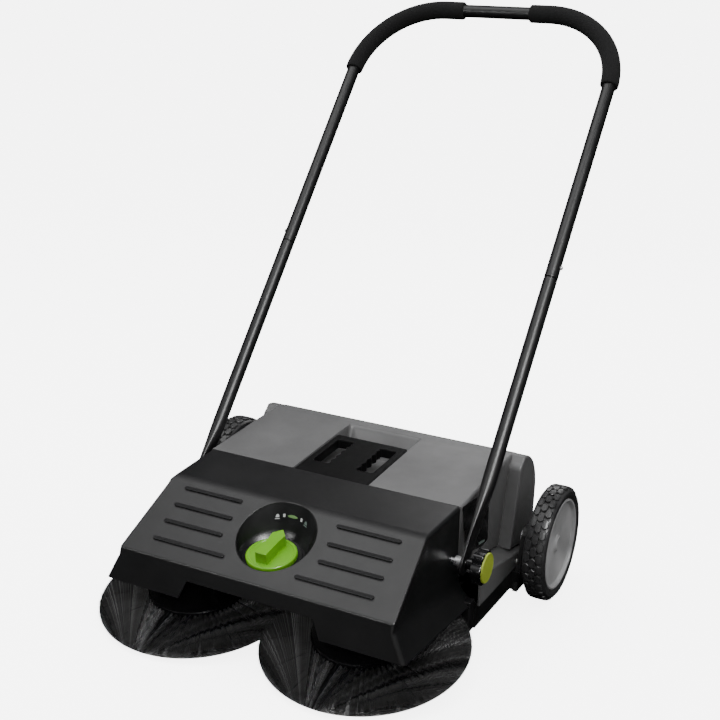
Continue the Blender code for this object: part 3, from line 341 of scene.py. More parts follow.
def noise(made, size, detail=2.0, stretch=(1, 1, 1), rough=0.5):
    """A noise whose features are about so many metres across."""
    place = wired(made, "TexCoord", {}, "Object")
    place = wired(made, "Mapping", {"Vector": place, "Scale": stretch}, "Vector")
    inputs = {"Vector": place, "Scale": 1 / size, "Detail": detail, "Roughness": rough}
    return wired(made, "TexNoise", inputs, "Fac")


def cells(made, size):
    place = wired(made, "TexCoord", {}, "Object")
    return wired(made, "TexVoronoi", {"Vector": place, "Scale": 1 / size}, "Distance")


def remap(made, value, low, high, start=0.3, end=0.7):
    inputs = {"Value": value, "From Min": start, "From Max": end, "To Min": low, "To Max": high}
    return wired(made, "MapRange", inputs, "Result")


def drive(made, socket, value, shader="Principled BSDF"):
    made.node_tree.links.new(value, made.node_tree.nodes[shader].inputs[socket])


def tint(made, value, dark, light):
    """Base colour that runs from dark to light with a value between 0 and 1."""
    inputs = {"Factor": value, "A": (*dark, 1), "B": (*light, 1)}
    drive(made, "Base Color", wired(made, "Mix", inputs, "Result", data_type="RGBA"))


def bump(made, value, height, strength=1.0, **under):
    """Raises the surface by height metres where the value is 1."""
    inputs = {"Height": value, "Distance": height, "Strength": strength, **under}
    raised = wired(made, "Bump", inputs, "Normal")
    drive(made, "Normal", raised)
    return raised


def moulded(name, colour, roughness, grain=0.0009, depth=0.00003, spread=0.06, mottle=0.1, **sockets):
    """Injection moulded plastic: fine spark grain, uneven polish and a slight mottling."""
    made = shader_of(name, colour, roughness, **sockets)
    wear = remap(made, noise(made, 0.035, 4.0), roughness - spread, roughness + spread)
    drive(made, "Roughness", wear)
    shade = remap(made, noise(made, 0.09, 3.0), 0.0, 1.0)
    tint(made, shade, [c * (1 - mottle) for c in colour], [min(1, c * (1 + mottle)) for c in colour])
    bump(made, noise(made, grain, 2.0, rough=0.6), depth)
    return made


black = moulded("black_housing", (0.0075, 0.0075, 0.008), 0.43, spread=0.025)
black_trim = moulded("black_trim", (0.0055, 0.0055, 0.0058), 0.48, grain=0.0012, depth=0.00004)
black_matt = moulded("black_matt", (0.003, 0.003, 0.0032), 0.52, grain=0.0012, depth=0.00004,
                     Specular_IOR_Level=0.15)
black_gloss = moulded("black_gloss", (0.0045, 0.0045, 0.005), 0.24, depth=0.00001, spread=0.05)
grey = moulded("grey_housing", (0.099, 0.099, 0.1), 0.46, grain=0.001)
rim_grey = moulded("rim_grey", (0.31, 0.31, 0.313), 0.36, depth=0.00002, mottle=0.3)
green = moulded("knob_green", (0.118, 0.345, 0.005), 0.33, grain=0.0016, depth=0.00001, spread=0.05,
                Subsurface_Weight=0.08, Subsurface_Scale=0.002)
cap_green = moulded("cap_green", (0.31, 0.39, 0.035), 0.4, depth=0.00002)
nylon = moulded("gear_nylon", (0.68, 0.68, 0.64), 0.42, depth=0.00001)


def painted_tube():
    """Powder coat on steel tube: fine orange peel under a satin sheen."""
    made = shader_of("handle_tube", (0.007, 0.007, 0.0075), 0.42)
    bump(made, noise(made, 0.0012, 2.0), 0.00003)
    drive(made, "Roughness", remap(made, noise(made, 0.02, 4.0), 0.38, 0.46))
    shade = remap(made, noise(made, 0.05, 3.0), 0.0, 1.0)
    tint(made, shade, (0.006, 0.006, 0.0065), (0.008, 0.008, 0.0085))
    return made


def zinc():
    """Zinc plate: bright, with fine turning marks and dull patches."""
    made = shader_of("bright_steel", (0.6, 0.6, 0.61), 0.28, 0.75)
    bump(made, noise(made, 0.0006, 3.0, stretch=(6, 1, 1)), 0.00002)
    dull = noise(made, 0.006, 4.0)
    drive(made, "Roughness", remap(made, dull, 0.2, 0.4))
    tint(made, remap(made, dull, 0.0, 1.0), (0.52, 0.52, 0.54), (0.66, 0.66, 0.66))
    return made


def rubber(name, colour, roughness, size, depth):
    made = shader_of(name, colour, roughness)
    bump(made, noise(made, size, 3.0, rough=0.65), depth)
    dust = noise(made, 0.018, 4.0)
    drive(made, "Roughness", remap(made, dust, roughness - 0.08, roughness + 0.1))
    tint(made, remap(made, dust, 0.0, 1.0), colour, [c * 1.7 for c in colour])
    return made


def foam_rubber():
    """Closed-cell foam: open pores at the skin with painted shade darkening them, no gloss, a soft edge."""
    made = shader_of("foam", (0.011, 0.011, 0.012), 0.95, Sheen_Weight=0.03, Sheen_Roughness=0.5,
                     Specular_IOR_Level=0.2)
    pores = cells(made, 0.0011)
    deep = bump(made, pores, 0.00035, 0.8)
    bump(made, noise(made, 0.01, 3.0), 0.0006, 0.7, Normal=deep)
    # Painted shade: the colour darkens towards the middle of each pore's pit, where shade would fall.
    skin = remap(made, pores, 0.0, 1.0, 0.1, 0.7)
    tint(made, skin, (0.002, 0.002, 0.002), (0.008, 0.008, 0.0084))
    return made


def bristle_nylon(name, centre):
    """Black nylon round a brush's centre, whose colour changes with each tuft and thread; the lighter threads
    are painted glints, lifted to light grey as highlights on the nylon.
    """
    made = shader_of(name, (0.014, 0.014, 0.014), 0.3, Specular_IOR_Level=0.6)
    place = wired(made, "TexCoord", {}, "Object")
    away = wired(made, "VectorMath", {0: place, 1: centre}, "Vector", operation="SUBTRACT")
    across, ahead = (wired(made, "SeparateXYZ", {"Vector": away}, axis) for axis in "XY")
    turn = wired(made, "Math", {0: ahead, 1: across}, "Value", operation="ARCTAN2")
    tufts, threads = (wired(made, "TexNoise", {"W": turn, "Scale": per_radian, "Detail": detail}, "Fac",
                            noise_dimensions="1D") for per_radian, detail in ((9, 2.0), (150, 3.0)))
    layers = {0: remap(made, threads, 0.0, 1.0, 0.5, 0.74), 1: remap(made, tufts, 0.15, 1.0, 0.4, 0.65)}
    painted_glint_streaks = wired(made, "Math", layers, "Value", operation="MULTIPLY")
    # Painted glints: light grey streaks on the black nylon stand in for highlights on the threads.
    tint(made, painted_glint_streaks, (0.0025, 0.0025, 0.0025), (0.3, 0.3, 0.304))
    drive(made, "Roughness", remap(made, tufts, 0.22, 0.4))
    bump(made, threads, 0.0006, 0.8)
    return made


tube_paint = painted_tube()
steel = zinc()
tyre_rubber = rubber("tyre_rubber", (0.022, 0.022, 0.0225), 0.36, 0.0011, 0.00012)
seal_rubber = rubber("seal_rubber", (0.012, 0.012, 0.012), 0.62, 0.0014, 0.00006)
foam = foam_rubber()
bristles = {side: bristle_nylon(f"bristle_{side}", ORIGIN @ Vector((sign * BRUSH.x, BRUSH.y, BRUSH.z)))
            for side, sign in SIDES.items()}
bowl_black = moulded("bowl_black", (0.005, 0.005, 0.0055), 0.33, depth=0.00001, spread=0.05)
drum_black = moulded("drum_black", (0.004, 0.004, 0.0045), 0.22, depth=0.00001, spread=0.04)
mark_white = moulded("mark_white", (0.5, 0.51, 0.51), 0.45, depth=0.00001)
mark_grey = moulded("mark_grey", (0.12, 0.16, 0.14), 0.45, depth=0.00001)
mark_green = moulded("mark_green", (0.13, 0.26, 0.08), 0.45, depth=0.00001)


# ---------------- front hood


def slope_point(x, down, proud=0.0):
    """A point of the hood's slope, so far down from its crease and so far off its face."""
    return Vector((x, 0, 0)) + HOOD_CREASE + DOWN_SLOPE * down + OFF_SLOPE * proud


def hood_cage():
    """Outside of the hood as a few large faces. Each edge's bevel weight is the width of its rounding."""
    across = (0, NOTCH_HALF, NOTCH_FOOT)

    def row(edge, half, corners):
        return [(x, edge.y, edge.z) for x in (*across, half)] + corners

    rear = row(HOOD_REAR, HOOD_REAR_HALF,
               [(0.2475, HOOD_REAR.y, 0.12), (0.249, 0.0385, 0.086), (0.275, 0.039, 0.06)])
    crease = row(HOOD_CREASE, HOOD_CREASE_HALF,
                 [(0.2455, -0.094, 0.15), (0.2515, -0.094, 0.112), (0.2775, -0.094, 0.074)])
    low = row(HOOD_LOW, HOOD_LOW_HALF,
              [(0.2562, -0.2335, 0.131), (0.2562, -0.2335, 0.131), tuple(HOOD_TOE)])
    toe = [(0, -0.2346, NOTCH_TOP), (NOTCH_HALF, -0.2346, NOTCH_TOP), (NOTCH_FOOT, HOOD_TOE.y, HOOD_TOE.z)]
    bm = bmesh.new()
    width = bm.edges.layers.float.new("bevel_weight_edge")
    for sign in (1, -1):
        rows = [[bm.verts.new((sign * x, y, z)) for x, y, z in points] for points in (rear, crease, low, toe)]
        for back, front in zip(rows[:2], rows[1:3]):
            for i in range(6):
                bm.faces.new((back[i], back[i + 1], front[i + 1], front[i]))
        corner = rows[2]
        for i in range(2):
            bm.faces.new((corner[i], corner[i + 1], rows[3][i + 1], rows[3][i]))
        bm.faces.new((corner[2], corner[3], corner[4], corner[6], rows[3][2]))
    bmesh.ops.remove_doubles(bm, verts=bm.verts, dist=MERGE)
    bmesh.ops.dissolve_degenerate(bm, edges=bm.edges, dist=MERGE)
    bmesh.ops.recalc_face_normals(bm, faces=bm.faces)

    def spot(point):
        """A point's place on the right half, so that an edge and its mirror image count as one."""
        return tuple(round(c, 5) for c in (abs(point[0]), point[1], point[2]))

    rounding = {}
    for size, *edges in (
        (0.006, (rear[3], crease[3]), (low[3], low[4]), (crease[3], crease[4])),
        (0.0032, (crease[3], low[3])),
        (0.01, *zip(crease[:3], crease[1:4])),
        (0.0025, *zip(low[:3], low[1:4])),
        (0.008, (low[4], low[6]), (crease[4], low[4]), (crease[5], low[5])),
        (0.012, (rear[4], crease[4]), (rear[5], crease[5])),
    ):
        rounding.update({frozenset(map(spot, edge)): size for edge in edges})
    for edge in bm.edges:
        edge[width] = rounding.get(frozenset(spot(vert.co) for vert in edge.verts), 0) / HOOD_BEVEL
    return mesh_of(bm)


def bowl_ring(radius, proud):
    """Ring of the dial bowl on the slope, or so far off it."""
    centre = BOWL_CENTRE + OFF_SLOPE * proud
    return [centre + Vector((radius * cos(a), 0, 0)) - DOWN_SLOPE * radius * sin(a) for a in full_turn(96)]


def floor_ring(radius, lift):
    """Ring of the dial bowl on its floor, or so far above it."""
    centre = BOWL_FLOOR + KNOB_AXIS * lift
    return [centre + Vector((radius * cos(a), 0, 0)) + KNOB_UP * radius * sin(a) for a in full_turn(96)]


def make_hood():
    shell = worked(
        hood_cage(),
        ("BEVEL", {"width": HOOD_BEVEL, "segments": 5, "limit_method": "WEIGHT", "use_clamp_overlap": True,
                   "loop_slide": True}),
        ("SOLIDIFY", {"thickness": WALL, "offset": -1, "use_even_offset": True}),
    )
    lip = 0.0014
    flare = [bowl_ring(BOWL_RADIUS + lip * (1 - cos(a)), -lip * (1 - sin(a))) for a in quarter(4)]
    hole = loft([bowl_ring(BOWL_RADIUS, -0.02), *flare, bowl_ring(BOWL_RADIUS + lip, 0.02)])
    ways = []
    for sign in SIDES.values():
        ways.append(lathe([(0, -0.02), (0.0046, -0.02), (0.0046, 0.03), (0, 0.03)],
                          PIVOT + Vector((sign * 0.25, 0, 0)), (1, 0, 0), 24))
    shell = cut(shell, hole, *ways)
    legs = [hood_leg(sign) for sign in SIDES.values()]
    piece("hood_shell", joined(shell, *legs), "chassis", black, ["front_hood"])


def hood_leg(sign):
    """Post at the hood's rear lower corner that runs down beside the rail."""
    inner, outer, front, back = 0.262, 0.2787, 0.018, 0.0385
    outline = rounded([(inner, front, 0.003), (outer, front, 0.004),
                       (outer, back, 0.002), (inner, back, 0.002)])
    leg = slab(outline, 0.016, 0.07, 0.0015)
    return leg if sign > 0 else mirrored(leg)


def make_bowl():
    """Dial bowl: a smooth wall that leans in from the slope to a floor round the knob."""
    rings = [bowl_ring(BOWL_RADIUS + 0.0012, -0.0016), bowl_ring(BOWL_RADIUS - 0.0002, -0.0016)]
    top, foot = bowl_ring(BOWL_RADIUS - 0.0002, -0.0016), floor_ring(BOWL_FLOOR_RADIUS + 0.001, 0.0)
    fillet, shaft_hole = 0.007, 0.0066
    rings += [[mix(a, b, k / 8) for a, b in zip(top, foot)] for k in range(1, 8)]
    rings += [floor_ring(BOWL_FLOOR_RADIUS - fillet * sin(a), fillet * (1 - cos(a)) * 0.35)
              for a in quarter(4)[1:]]
    rings += [floor_ring(shaft_hole, 0.0), floor_ring(shaft_hole, -WALL),
              floor_ring(BOWL_FLOOR_RADIUS + 0.002, -WALL), bowl_ring(BOWL_RADIUS + 0.0012, -0.003)]
    piece("dial_bowl", loft(rings, loop=True), "chassis", bowl_black, crease=40)


RIB_ROWS = ((0.025, 0.09), (0.061, 0.09), (0.0955, 0.09), (0.132, 0.066))
RIB_END, RIB_WIDTH, RIB_LOW, RIB_HIGH = 0.206, 0.008, 0.0006, 0.0037


def rib(x0, x1, down):
    """Louvre rib on the slope: it rises from its upper edge to a steep lower one."""
    half = RIB_WIDTH / 2
    outline = rounded([(x0, -half, half - 1e-5), (x1, -half, half - 1e-5), (x1, half, half - 1e-5),
                       (x0, half, half - 1e-5)], steps=8)
    soft = 0.0007
    levels = [(0, -0.0015, 0)] + [(soft * (1 - cos(a)), -soft * (1 - sin(a)), 1) for a in quarter(4)]
    rings = []
    for inward, lower, share in levels:
        ring = []
        for u, v in inset(outline, inward):
            height = RIB_LOW + (RIB_HIGH - RIB_LOW) * (v + half) / RIB_WIDTH
            ring.append(slope_point(u, down - half + v, share * height + lower))
        rings.append(ring)
    return loft(rings)


def make_ribs():
    for side, sign in SIDES.items():
        ribs = []
        for down, start in RIB_ROWS:
            x0, x1 = sorted((sign * start, sign * RIB_END))
            ribs.append(rib(x0, x1, down))
        piece(f"slope_ribs_{side}", joined(*ribs), "chassis", black)


def bowl_wall(angle, share):
    """A point of the bowl's wall: the angle runs round from +X, the share from its lip to its floor."""
    a = radians(angle)
    top = BOWL_CENTRE + Vector((BOWL_RADIUS * cos(a), 0, 0)) - DOWN_SLOPE * BOWL_RADIUS * sin(a)
    foot = BOWL_FLOOR + Vector((BOWL_FLOOR_RADIUS * cos(a), 0, 0)) + KNOB_UP * BOWL_FLOOR_RADIUS * sin(a)
    return mix(top, foot, share)


def wall_patch(angle0, angle1, share0, share1, outline=None):
    """A thin raised patch that follows the bowl's wall. The outline is in shares of its width and height."""
    outline = outline or [(0, 0), (1, 0), (1, 1), (0, 1)]
    proud = 0.0003
    base, face = [], []
    for u, v in outline:
        angle, share = angle0 + (angle1 - angle0) * u, share1 + (share0 - share1) * v
        at = bowl_wall(angle, share)
        round_way = bowl_wall(angle + 1, share) - at
        inward = round_way.cross(bowl_wall(angle, share + 0.02) - at).normalized()
        if inward.dot(BOWL_CENTRE - at) < 0:
            inward.negate()
        base.append(at - inward * 0.0004)
        face.append(at + inward * proud)
    return loft([base, face])


def make_marks():
    """Plain printed marks round the back of the bowl: two icons, two squares and a long bar."""
    dome = [(0, 0), (1, 0)] + [(0.5 + 0.5 * cos(pi * k / 8), 0.25 + 0.75 * sin(pi * k / 8)) for k in range(9)]
    lens = [(0.5 + 0.5 * cos(2 * pi * k / 16), 0.5 + 0.5 * sin(2 * pi * k / 16)) for k in range(16)]
    low, high = 0.33, 0.42
    white = [wall_patch(117, 111.5, low, high, dome), wall_patch(118, 110.5, high + 0.03, high + 0.05),
             wall_patch(105.5, 102, low, high), wall_patch(75, 71.5, low, high)]
    piece("dial_marks_white", joined(*white), "chassis", mark_white, weighted=False)
    bar = wall_patch(98, 81, low + 0.01, high, lens)
    piece("dial_mark_green", bar, "chassis", mark_green, weighted=False)
    grey_marks = [wall_patch(66, 60.5, low, high, dome), wall_patch(67, 59.5, high + 0.03, high + 0.05)]
    piece("dial_mark_grey", joined(*grey_marks), "chassis", mark_grey, weighted=False)


def make_height_knob():
    seat = BOWL_FLOOR + KNOB_AXIS * 0.0008
    r, t = KNOB_RADIUS, KNOB_THICK
    dish = [(0, 0), (r - 0.001, 0), (r, 0.001)]
    dish += [(r - 0.0028 * (1 - cos(a)), t - 0.0028 * (1 - sin(a))) for a in quarter(5)]
    dish += [(r - 0.0052, t - 0.0002), (r - 0.0062, t - 0.001), (r - 0.0085, t - 0.0006),
             (0.02, t + 0.0006), (0, t + 0.0008)]
    disc = lathe(dish, seat, KNOB_AXIS, 96)
    left = [(-0.0125, 0.0265, 0.002), (-0.0105, 0.008, 0.01), (-0.0105, -0.031, 0.001)]
    arrow = [(0, 0.041, 0.0012), *left, *((-u, v, r) for u, v, r in reversed(left))]
    grip = slab(rounded(arrow, steps=4), 0.003, t + GRIP_HEIGHT, 0.001)
    grip.transform(axis_frame(seat, KNOB_AXIS, (1, 0, 0)))
    piece("height_knob_face", merged(disc, grip), "height_knob", green, ["height_knob"])


# ---------------- carry handle


def make_carry_handle():
    """Flat grip that runs back over the hopper's recess, with a finger slot each side of its middle bar."""
    rise = atan2(carry_high.z - HOOD_REAR.z, carry_high.y - carry_low.y)
    length = (carry_high.y - carry_low.y) / cos(rise)
    half, thick, border = carry_high.x, 0.017, 0.0042
    outline = rounded([(-half, 0, 0), (half, 0, 0), (half, length, 0.008), (-half, length, 0.008)], steps=6)
    face = [Vector((max(-half + border, min(half - border, u)), min(length - border, v))) for u, v in outline]
    rings = [[(*p, -thick) for p in outline], [(*p, -0.0026) for p in outline]]
    for share, height in ((0.18, -0.0016), (0.85, -0.0002), (1, 0)):
        rings.append([(*(a + (b - a) * share), height) for a, b in zip(outline, face)])
    plate = loft(rings)
    slots = []
    x0, x1, y0, y1 = 0.027, 0.06, 0.071 - carry_low.y, 0.169 - carry_low.y
    waves, swing = 4.5, 0.0034
    for sign in SIDES.values():
        inner = []
        count = 40
        for k in range(1, count):
            v = y0 + 0.006 + (y1 - y0 - 0.012) * k / count
            inner.append(Vector((x0 + swing * (1 - cos(2 * pi * waves * k / count)) * 0.5, v)))
        corners = rounded([(x0, y0, 0.005), (x1, y0, 0.006), (x1, y1, 0.006), (x0, y1, 0.005)], steps=5)
        loop = corners + inner[::-1]
        if sign < 0:
            loop = [Vector((-u, v)) for u, v in loop][::-1]
        lip = 0.0012
        rings = [[(*p, -0.03) for p in loop]]
        for a in quarter(3):
            rings.append([(*p, -lip * (1 - sin(a))) for p in inset(loop, -lip * (1 - cos(a)))])
        rings.append([(*p, 0.01) for p in inset(loop, -lip)])
        slots.append(loft(rings))
    plate = cut(plate, *slots)
    plate.transform(Matrix.Translation((0, carry_low.y, HOOD_REAR.z)) @ Matrix.Rotation(rise, 4, "X"))
    piece("carry_grip", plate, "chassis", black_matt, ["carry_handle"])


# ---------------- hopper

MAIN_HALF, WING_HALF, CORE_HALF = 0.248, hopper_high.x, 0.229
WING_FOOT, WING_SHOULDER = Vector((0.218, 0.084)), Vector((0.245, 0.236))
HOPPER_TOP, HOPPER_ROUND = 0.25, (0.073, 0.085)
SHELF_FRONT, SHELF_FALL = 0.119, 0.1818
RECESS_HALF, RECESS_FLOOR = 0.0745, 0.2
CORE_FRONT, CORE_TOP, HOPPER_FLOOR = 0.0487, 0.15, 0.0205


def hopper_top(y):
    """Height of the hopper's top: it climbs with the carry handle, then levels out."""
    start, level = 0.19, 0.254
    climb = tan(radians(4.7))
    height = HOOD_REAR.z + (min(y, start) - hopper_low.y) * climb
    if y > start:
        over = min(y, level) - start
        height += climb * over - climb * over ** 2 / (2 * (level - start))
    return height


def shelf_height(y):
    return SHELF_FRONT - SHELF_FALL * (y - hopper_low.y)


def rear_edge(less):
    """The hopper's rounded rear edge in Y and Z, from its top down to its rear wall."""
    depth, height = HOPPER_ROUND
    y, z = hopper_high.y - depth, HOPPER_TOP - height
    return [Vector((y + (depth - less) * sin(a), z + (height - less) * cos(a))) for a in quarter(20)]


def round_slab(outline, half, edge=0.0):
    """An anticlockwise outline in Y and Z carried along X, with both ends' edges rounded."""
    ends = [(half - edge * (1 - sin(a)), edge * (1 - cos(a))) for a in quarter(5)] if edge else [(half, 0)]
    ends = [(-x, inward) for x, inward in ends[::-1]] + ends
    return loft([[Vector((x, *p)) for p in inset(outline, inward)] for x, inward in ends])


def hopper_form(less=0.0):
    """The hopper's outside, or its inside when it is less by the wall's thickness."""
    front, back, top = hopper_low.y + less, hopper_high.y - less, 0.262
    crown = [Vector((y, hopper_top(y) - less)) for y in (mix(front, top, k / 12) for k in range(12))]
    main = [Vector((back, shelf_height(back) + less)), *rear_edge(less)[::-1], *crown[::-1],
            Vector((front, shelf_height(front) + less))]
    within = less + 0.0006
    foot, shoulder = WING_FOOT + Vector((less, 0)), WING_SHOULDER + Vector((less, 0))
    low = Vector((foot.x, shelf_height(foot.x) + within))
    wing_back = hopper_high.y - within
    bend = rounded([(*low, 0), (*shoulder, 0.02), (0.275, 0.251 - less, 0)], closed=False, steps=8)[:-1]
    bend = [p for p in bend if p.y < hopper_top(p.x) - within - 0.0004]
    wing = [Vector((wing_back, shelf_height(wing_back) + within)), *rear_edge(within)[::-1], *bend[::-1]]
    core_front, core_back, floor = CORE_FRONT + less, back - 0.0005, HOPPER_FLOOR + less
    core = rounded([(core_front, floor, 0.006), (core_back, floor, 0.012), (core_back, CORE_TOP, 0),
                    (core_front, CORE_TOP, 0)])
    soft = 0 if less else 1
    return merged(
        round_slab(main, MAIN_HALF - less, 0.006 * soft),
        round_slab(wing, WING_HALF - less, 0.004 * soft),
        round_slab(core, CORE_HALF - less, 0.003 * soft),
    )


def recess_form(wall=0.0):
    """Hand recess in the hopper's top, with a rear wall that slopes back to a soft lip."""
    half, front = RECESS_HALF + wall, hopper_low.y - 0.005

    def plan(spread, end):
        side, back = half + spread, end + wall
        return rounded([(-side, front, 0), (side, front, 0), (side, back, 0.009), (-side, back, 0.009)])

    rings = [[(u, v, RECESS_FLOOR - wall) for u, v in plan(-0.004, 0.219)],
             [(u, v, RECESS_FLOOR - wall + 0.004) for u, v in plan(0, 0.223)],
             [(u, v, RECESS_FLOOR - wall + 0.02) for u, v in plan(0, 0.23)]]
    lip = ((-0.007, 0.24, 0), (-0.0035, 0.2422, 0), (-0.0012, 0.245, 0.0003), (0.0003, 0.2485, 0.0009),
           (0.03, 0.2495, 0.0009))
    for rise, end, spread in lip:
        rings.append([(u, v, hopper_top(v) + rise) for u, v in plan(spread, end)])
    return loft(rings)


PANEL_CORNERS = ((0.03, 0.232), (0.056, 0.136), (0.138, 0.118),
                 (0.162, 0.121), (0.152, 0.221), (0.082, 0.228))
TAB_CORNERS = ((0.118, 0.129), (0.145, 0.1245), (0.1455, 0.129), (0.1185, 0.1335))
INLET_HALF, INLET_FRONT, INLET_BACK, INLET_TOP = 0.105, 0.035, 0.06, 0.095


def side_slab(outline, low, high, edge=0.0, sign=1):
    """An outline in Y and Z given a thickness along X, on either side of the machine."""
    mesh = slab(outline, low, high, edge)
    mesh.transform(Matrix(((0, 0, 1, 0), (1, 0, 0, 0), (0, 1, 0, 0), (0, 0, 0, 1))))
    return mesh if sign > 0 else mirrored(mesh)


def make_hopper():
    outline = rounded([(y, z, 0.004) for y, z in PANEL_CORNERS], steps=4)
    hollow = cut(hopper_form(WALL), recess_form(WALL))
    inlet = slab([Vector((x, y)) for x, y in ((-INLET_HALF, INLET_FRONT), (INLET_HALF, INLET_FRONT),
                                              (INLET_HALF, INLET_BACK), (-INLET_HALF, INLET_BACK))],
                 HOPPER_FLOOR + WALL, INLET_TOP)
    pocket_floor = MAIN_HALF - 0.001
    pockets = [side_slab(outline, pocket_floor, MAIN_HALF + 0.004, sign=sign) for sign in SIDES.values()]
    body = cut(hopper_form(), recess_form(), hollow, inlet, *pockets)
    piece("hopper_bin", body, "hopper", grey, ["hopper"])
    tab_outline = rounded([(y, z, 0.001) for y, z in TAB_CORNERS])
    for side, sign in SIDES.items():
        panel = side_slab(inset(outline, 0.0008), pocket_floor, MAIN_HALF - 0.0003, 0.0003, sign)
        piece(f"panel_{side}", panel, "hopper", black_gloss, [f"side_panel_{side}"])
        tab = side_slab(tab_outline, MAIN_HALF - 0.0008, MAIN_HALF + 0.0002, 0.0002, sign)
        piece(f"panel_tab_{side}", tab, "hopper", mark_grey)


# ---------------- skirts


def make_skirts():
    """Grey covers of the belt channels."""
    for side, sign in SIDES.items():
        rings = []
        for y in (skirt_low.y, mix(skirt_low.y, skirt_high.y, 0.5), skirt_high.y):
            shelf = shelf_height(y) - 0.0003
            section = [(0.2515, shelf, 0.002), (0.232, shelf, 0), (0.232, shelf - 0.004, 0),
                       (0.25, shelf - 0.004, 0), (0.2782, shelf - 0.009, 0.002), (0.28, skirt_low.z, 0),
                       (skirt_high.x, skirt_low.z, 0), (0.281, shelf - 0.006, 0.004)]
            rings.append([Vector((sign * u, y, v)) for u, v in rounded(section, steps=4)])
        piece(f"skirt_{side}", loft(rings), "chassis", grey, [f"side_skirt_{side}"])


# ---------------- wheels


BLOCKS_ROUND = 31
TREAD_COLUMNS = ((-0.0108, 0.0055), (0, 0.0056), (0.0108, 0.0055))


def tread_radius(x):
    """Radius of the tread's face so far from the middle of the tyre's width."""
    shoulder = 0.0095
    over = max(0, abs(x) - (TYRE_HALF - shoulder))
    crown = 0.0012 * (x / TYRE_HALF) ** 2
    return WHEEL_RADIUS - crown - (shoulder - (shoulder ** 2 - min(over, shoulder * 0.97) ** 2) ** 0.5)


def tread_block(centre, angle, half_x, half_s):
    """One block of the tread: a six-sided lump with bevelled edges, wrapped round the tyre."""
    floor, soft, point = WHEEL_RADIUS - 0.0055, 0.0009, 0.36
    rings = []
    for share in (-1, -0.86, -0.45, 0, 0.45, 0.86, 1):
        x = centre + half_x * share
        half = half_s * (1 - point * abs(share))
        top = tread_radius(x) - (0.0012 if abs(share) == 1 else 0)
        ring = []
        for s, radius in ((-half, floor), (-half, top - soft), (-half + soft, top), (0, top + 0.0001),
                          (half - soft, top), (half, top - soft), (half, floor)):
            a = angle + s / WHEEL_RADIUS
            ring.append(Vector((x, max(radius, floor) * cos(a), max(radius, floor) * sin(a))))
        rings.append(ring)
    return loft(rings)


def make_tyre():
    """Tyre with smooth sides and three staggered columns of blocks, made round the X axis."""
    half, r = TYRE_HALF, WHEEL_RADIUS
    side = [(RIM_RADIUS + 0.0003, half - 0.0045), (RIM_RADIUS + 0.0012, half - 0.0022),
            (RIM_RADIUS + 0.0035, half - 0.001), (r - 0.013, half), (r - 0.0085, half - 0.0006),
            (r - 0.006, half - 0.003), (r - 0.0042, half - 0.0065)]
    profile = side + [(r - 0.004, 0)] + [(a, -b) for a, b in reversed(side)]
    blocks = [lathe(profile, (0, 0, 0), (1, 0, 0), 128)]
    step = 2 * pi / BLOCKS_ROUND
    half_s = r * step / 2 - 0.0012
    for column, (centre, half_x) in enumerate(TREAD_COLUMNS):
        for k in range(BLOCKS_ROUND):
            angle = step * (k + 0.5 * (column % 2)) + rng.uniform(-0.006, 0.006)
            middle = centre + rng.uniform(-0.0004, 0.0004)
            blocks.append(tread_block(middle, angle, half_x, half_s * rng.uniform(0.97, 1.02)))
    return joined(*blocks)


def make_rim():
    """Plain dished wheel disc with a raised lip, made round the X axis, its outer face towards +X."""
    low, high = rim_low.x - WHEEL_MIDDLE, rim_high.x - WHEEL_MIDDLE
    r = RIM_RADIUS
    face = [(0, 0.005), (0.012, 0.0052), (0.016, 0.0085), (0.02, 0.0098), (0.045, 0.0092),
            (r - 0.012, 0.0062), (r - 0.0085, 0.0066), (r - 0.0065, 0.005), (r - 0.0048, 0.0006),
            (r - 0.003, 0), (r - 0.001, 0.0005), (r, 0.0022)]
    back = [(r, low + 0.002), (r - 0.001, low), (r - 0.004, low + 0.0005), (r - 0.0052, low + 0.004),
            (r - 0.0075, high - 0.012), (0.045, high - 0.013), (0.017, high - 0.0135),
            (0.0158, low + 0.001), (0.015, low), (0.0078, low), (0.0078, high - 0.0135), (0, high - 0.0135)]
    return lathe([(a, high - depth) for a, depth in face] + back, (0, 0, 0), (1, 0, 0), 128)


def make_wheels():
    tyre, rim = make_tyre(), make_rim()
    for side, sign in SIDES.items():
        here = Matrix.Translation((sign * WHEEL_MIDDLE, WHEEL.y, WHEEL.z))
        for name, mesh, look, slot, node in (("tyre_tread", tyre, tyre_rubber, "tyre_rubber", "tyre"),
                                             ("wheel_disc", rim, rim_grey, "wheel_rim", "wheel_rim")):
            copy = mesh.copy() if sign > 0 else mirrored(mesh)
            piece(f"{name}_{side}", copy, f"wheel_{side}", look, [f"{node}_{side}"], at=ORIGIN @ here)
    bpy.data.meshes.remove(tyre)
    bpy.data.meshes.remove(rim)


# ---------------- brushes

BRISTLE_TIP = 0.1745
TUFTS, ROWS, PER_TUFT = 66, 2, 46


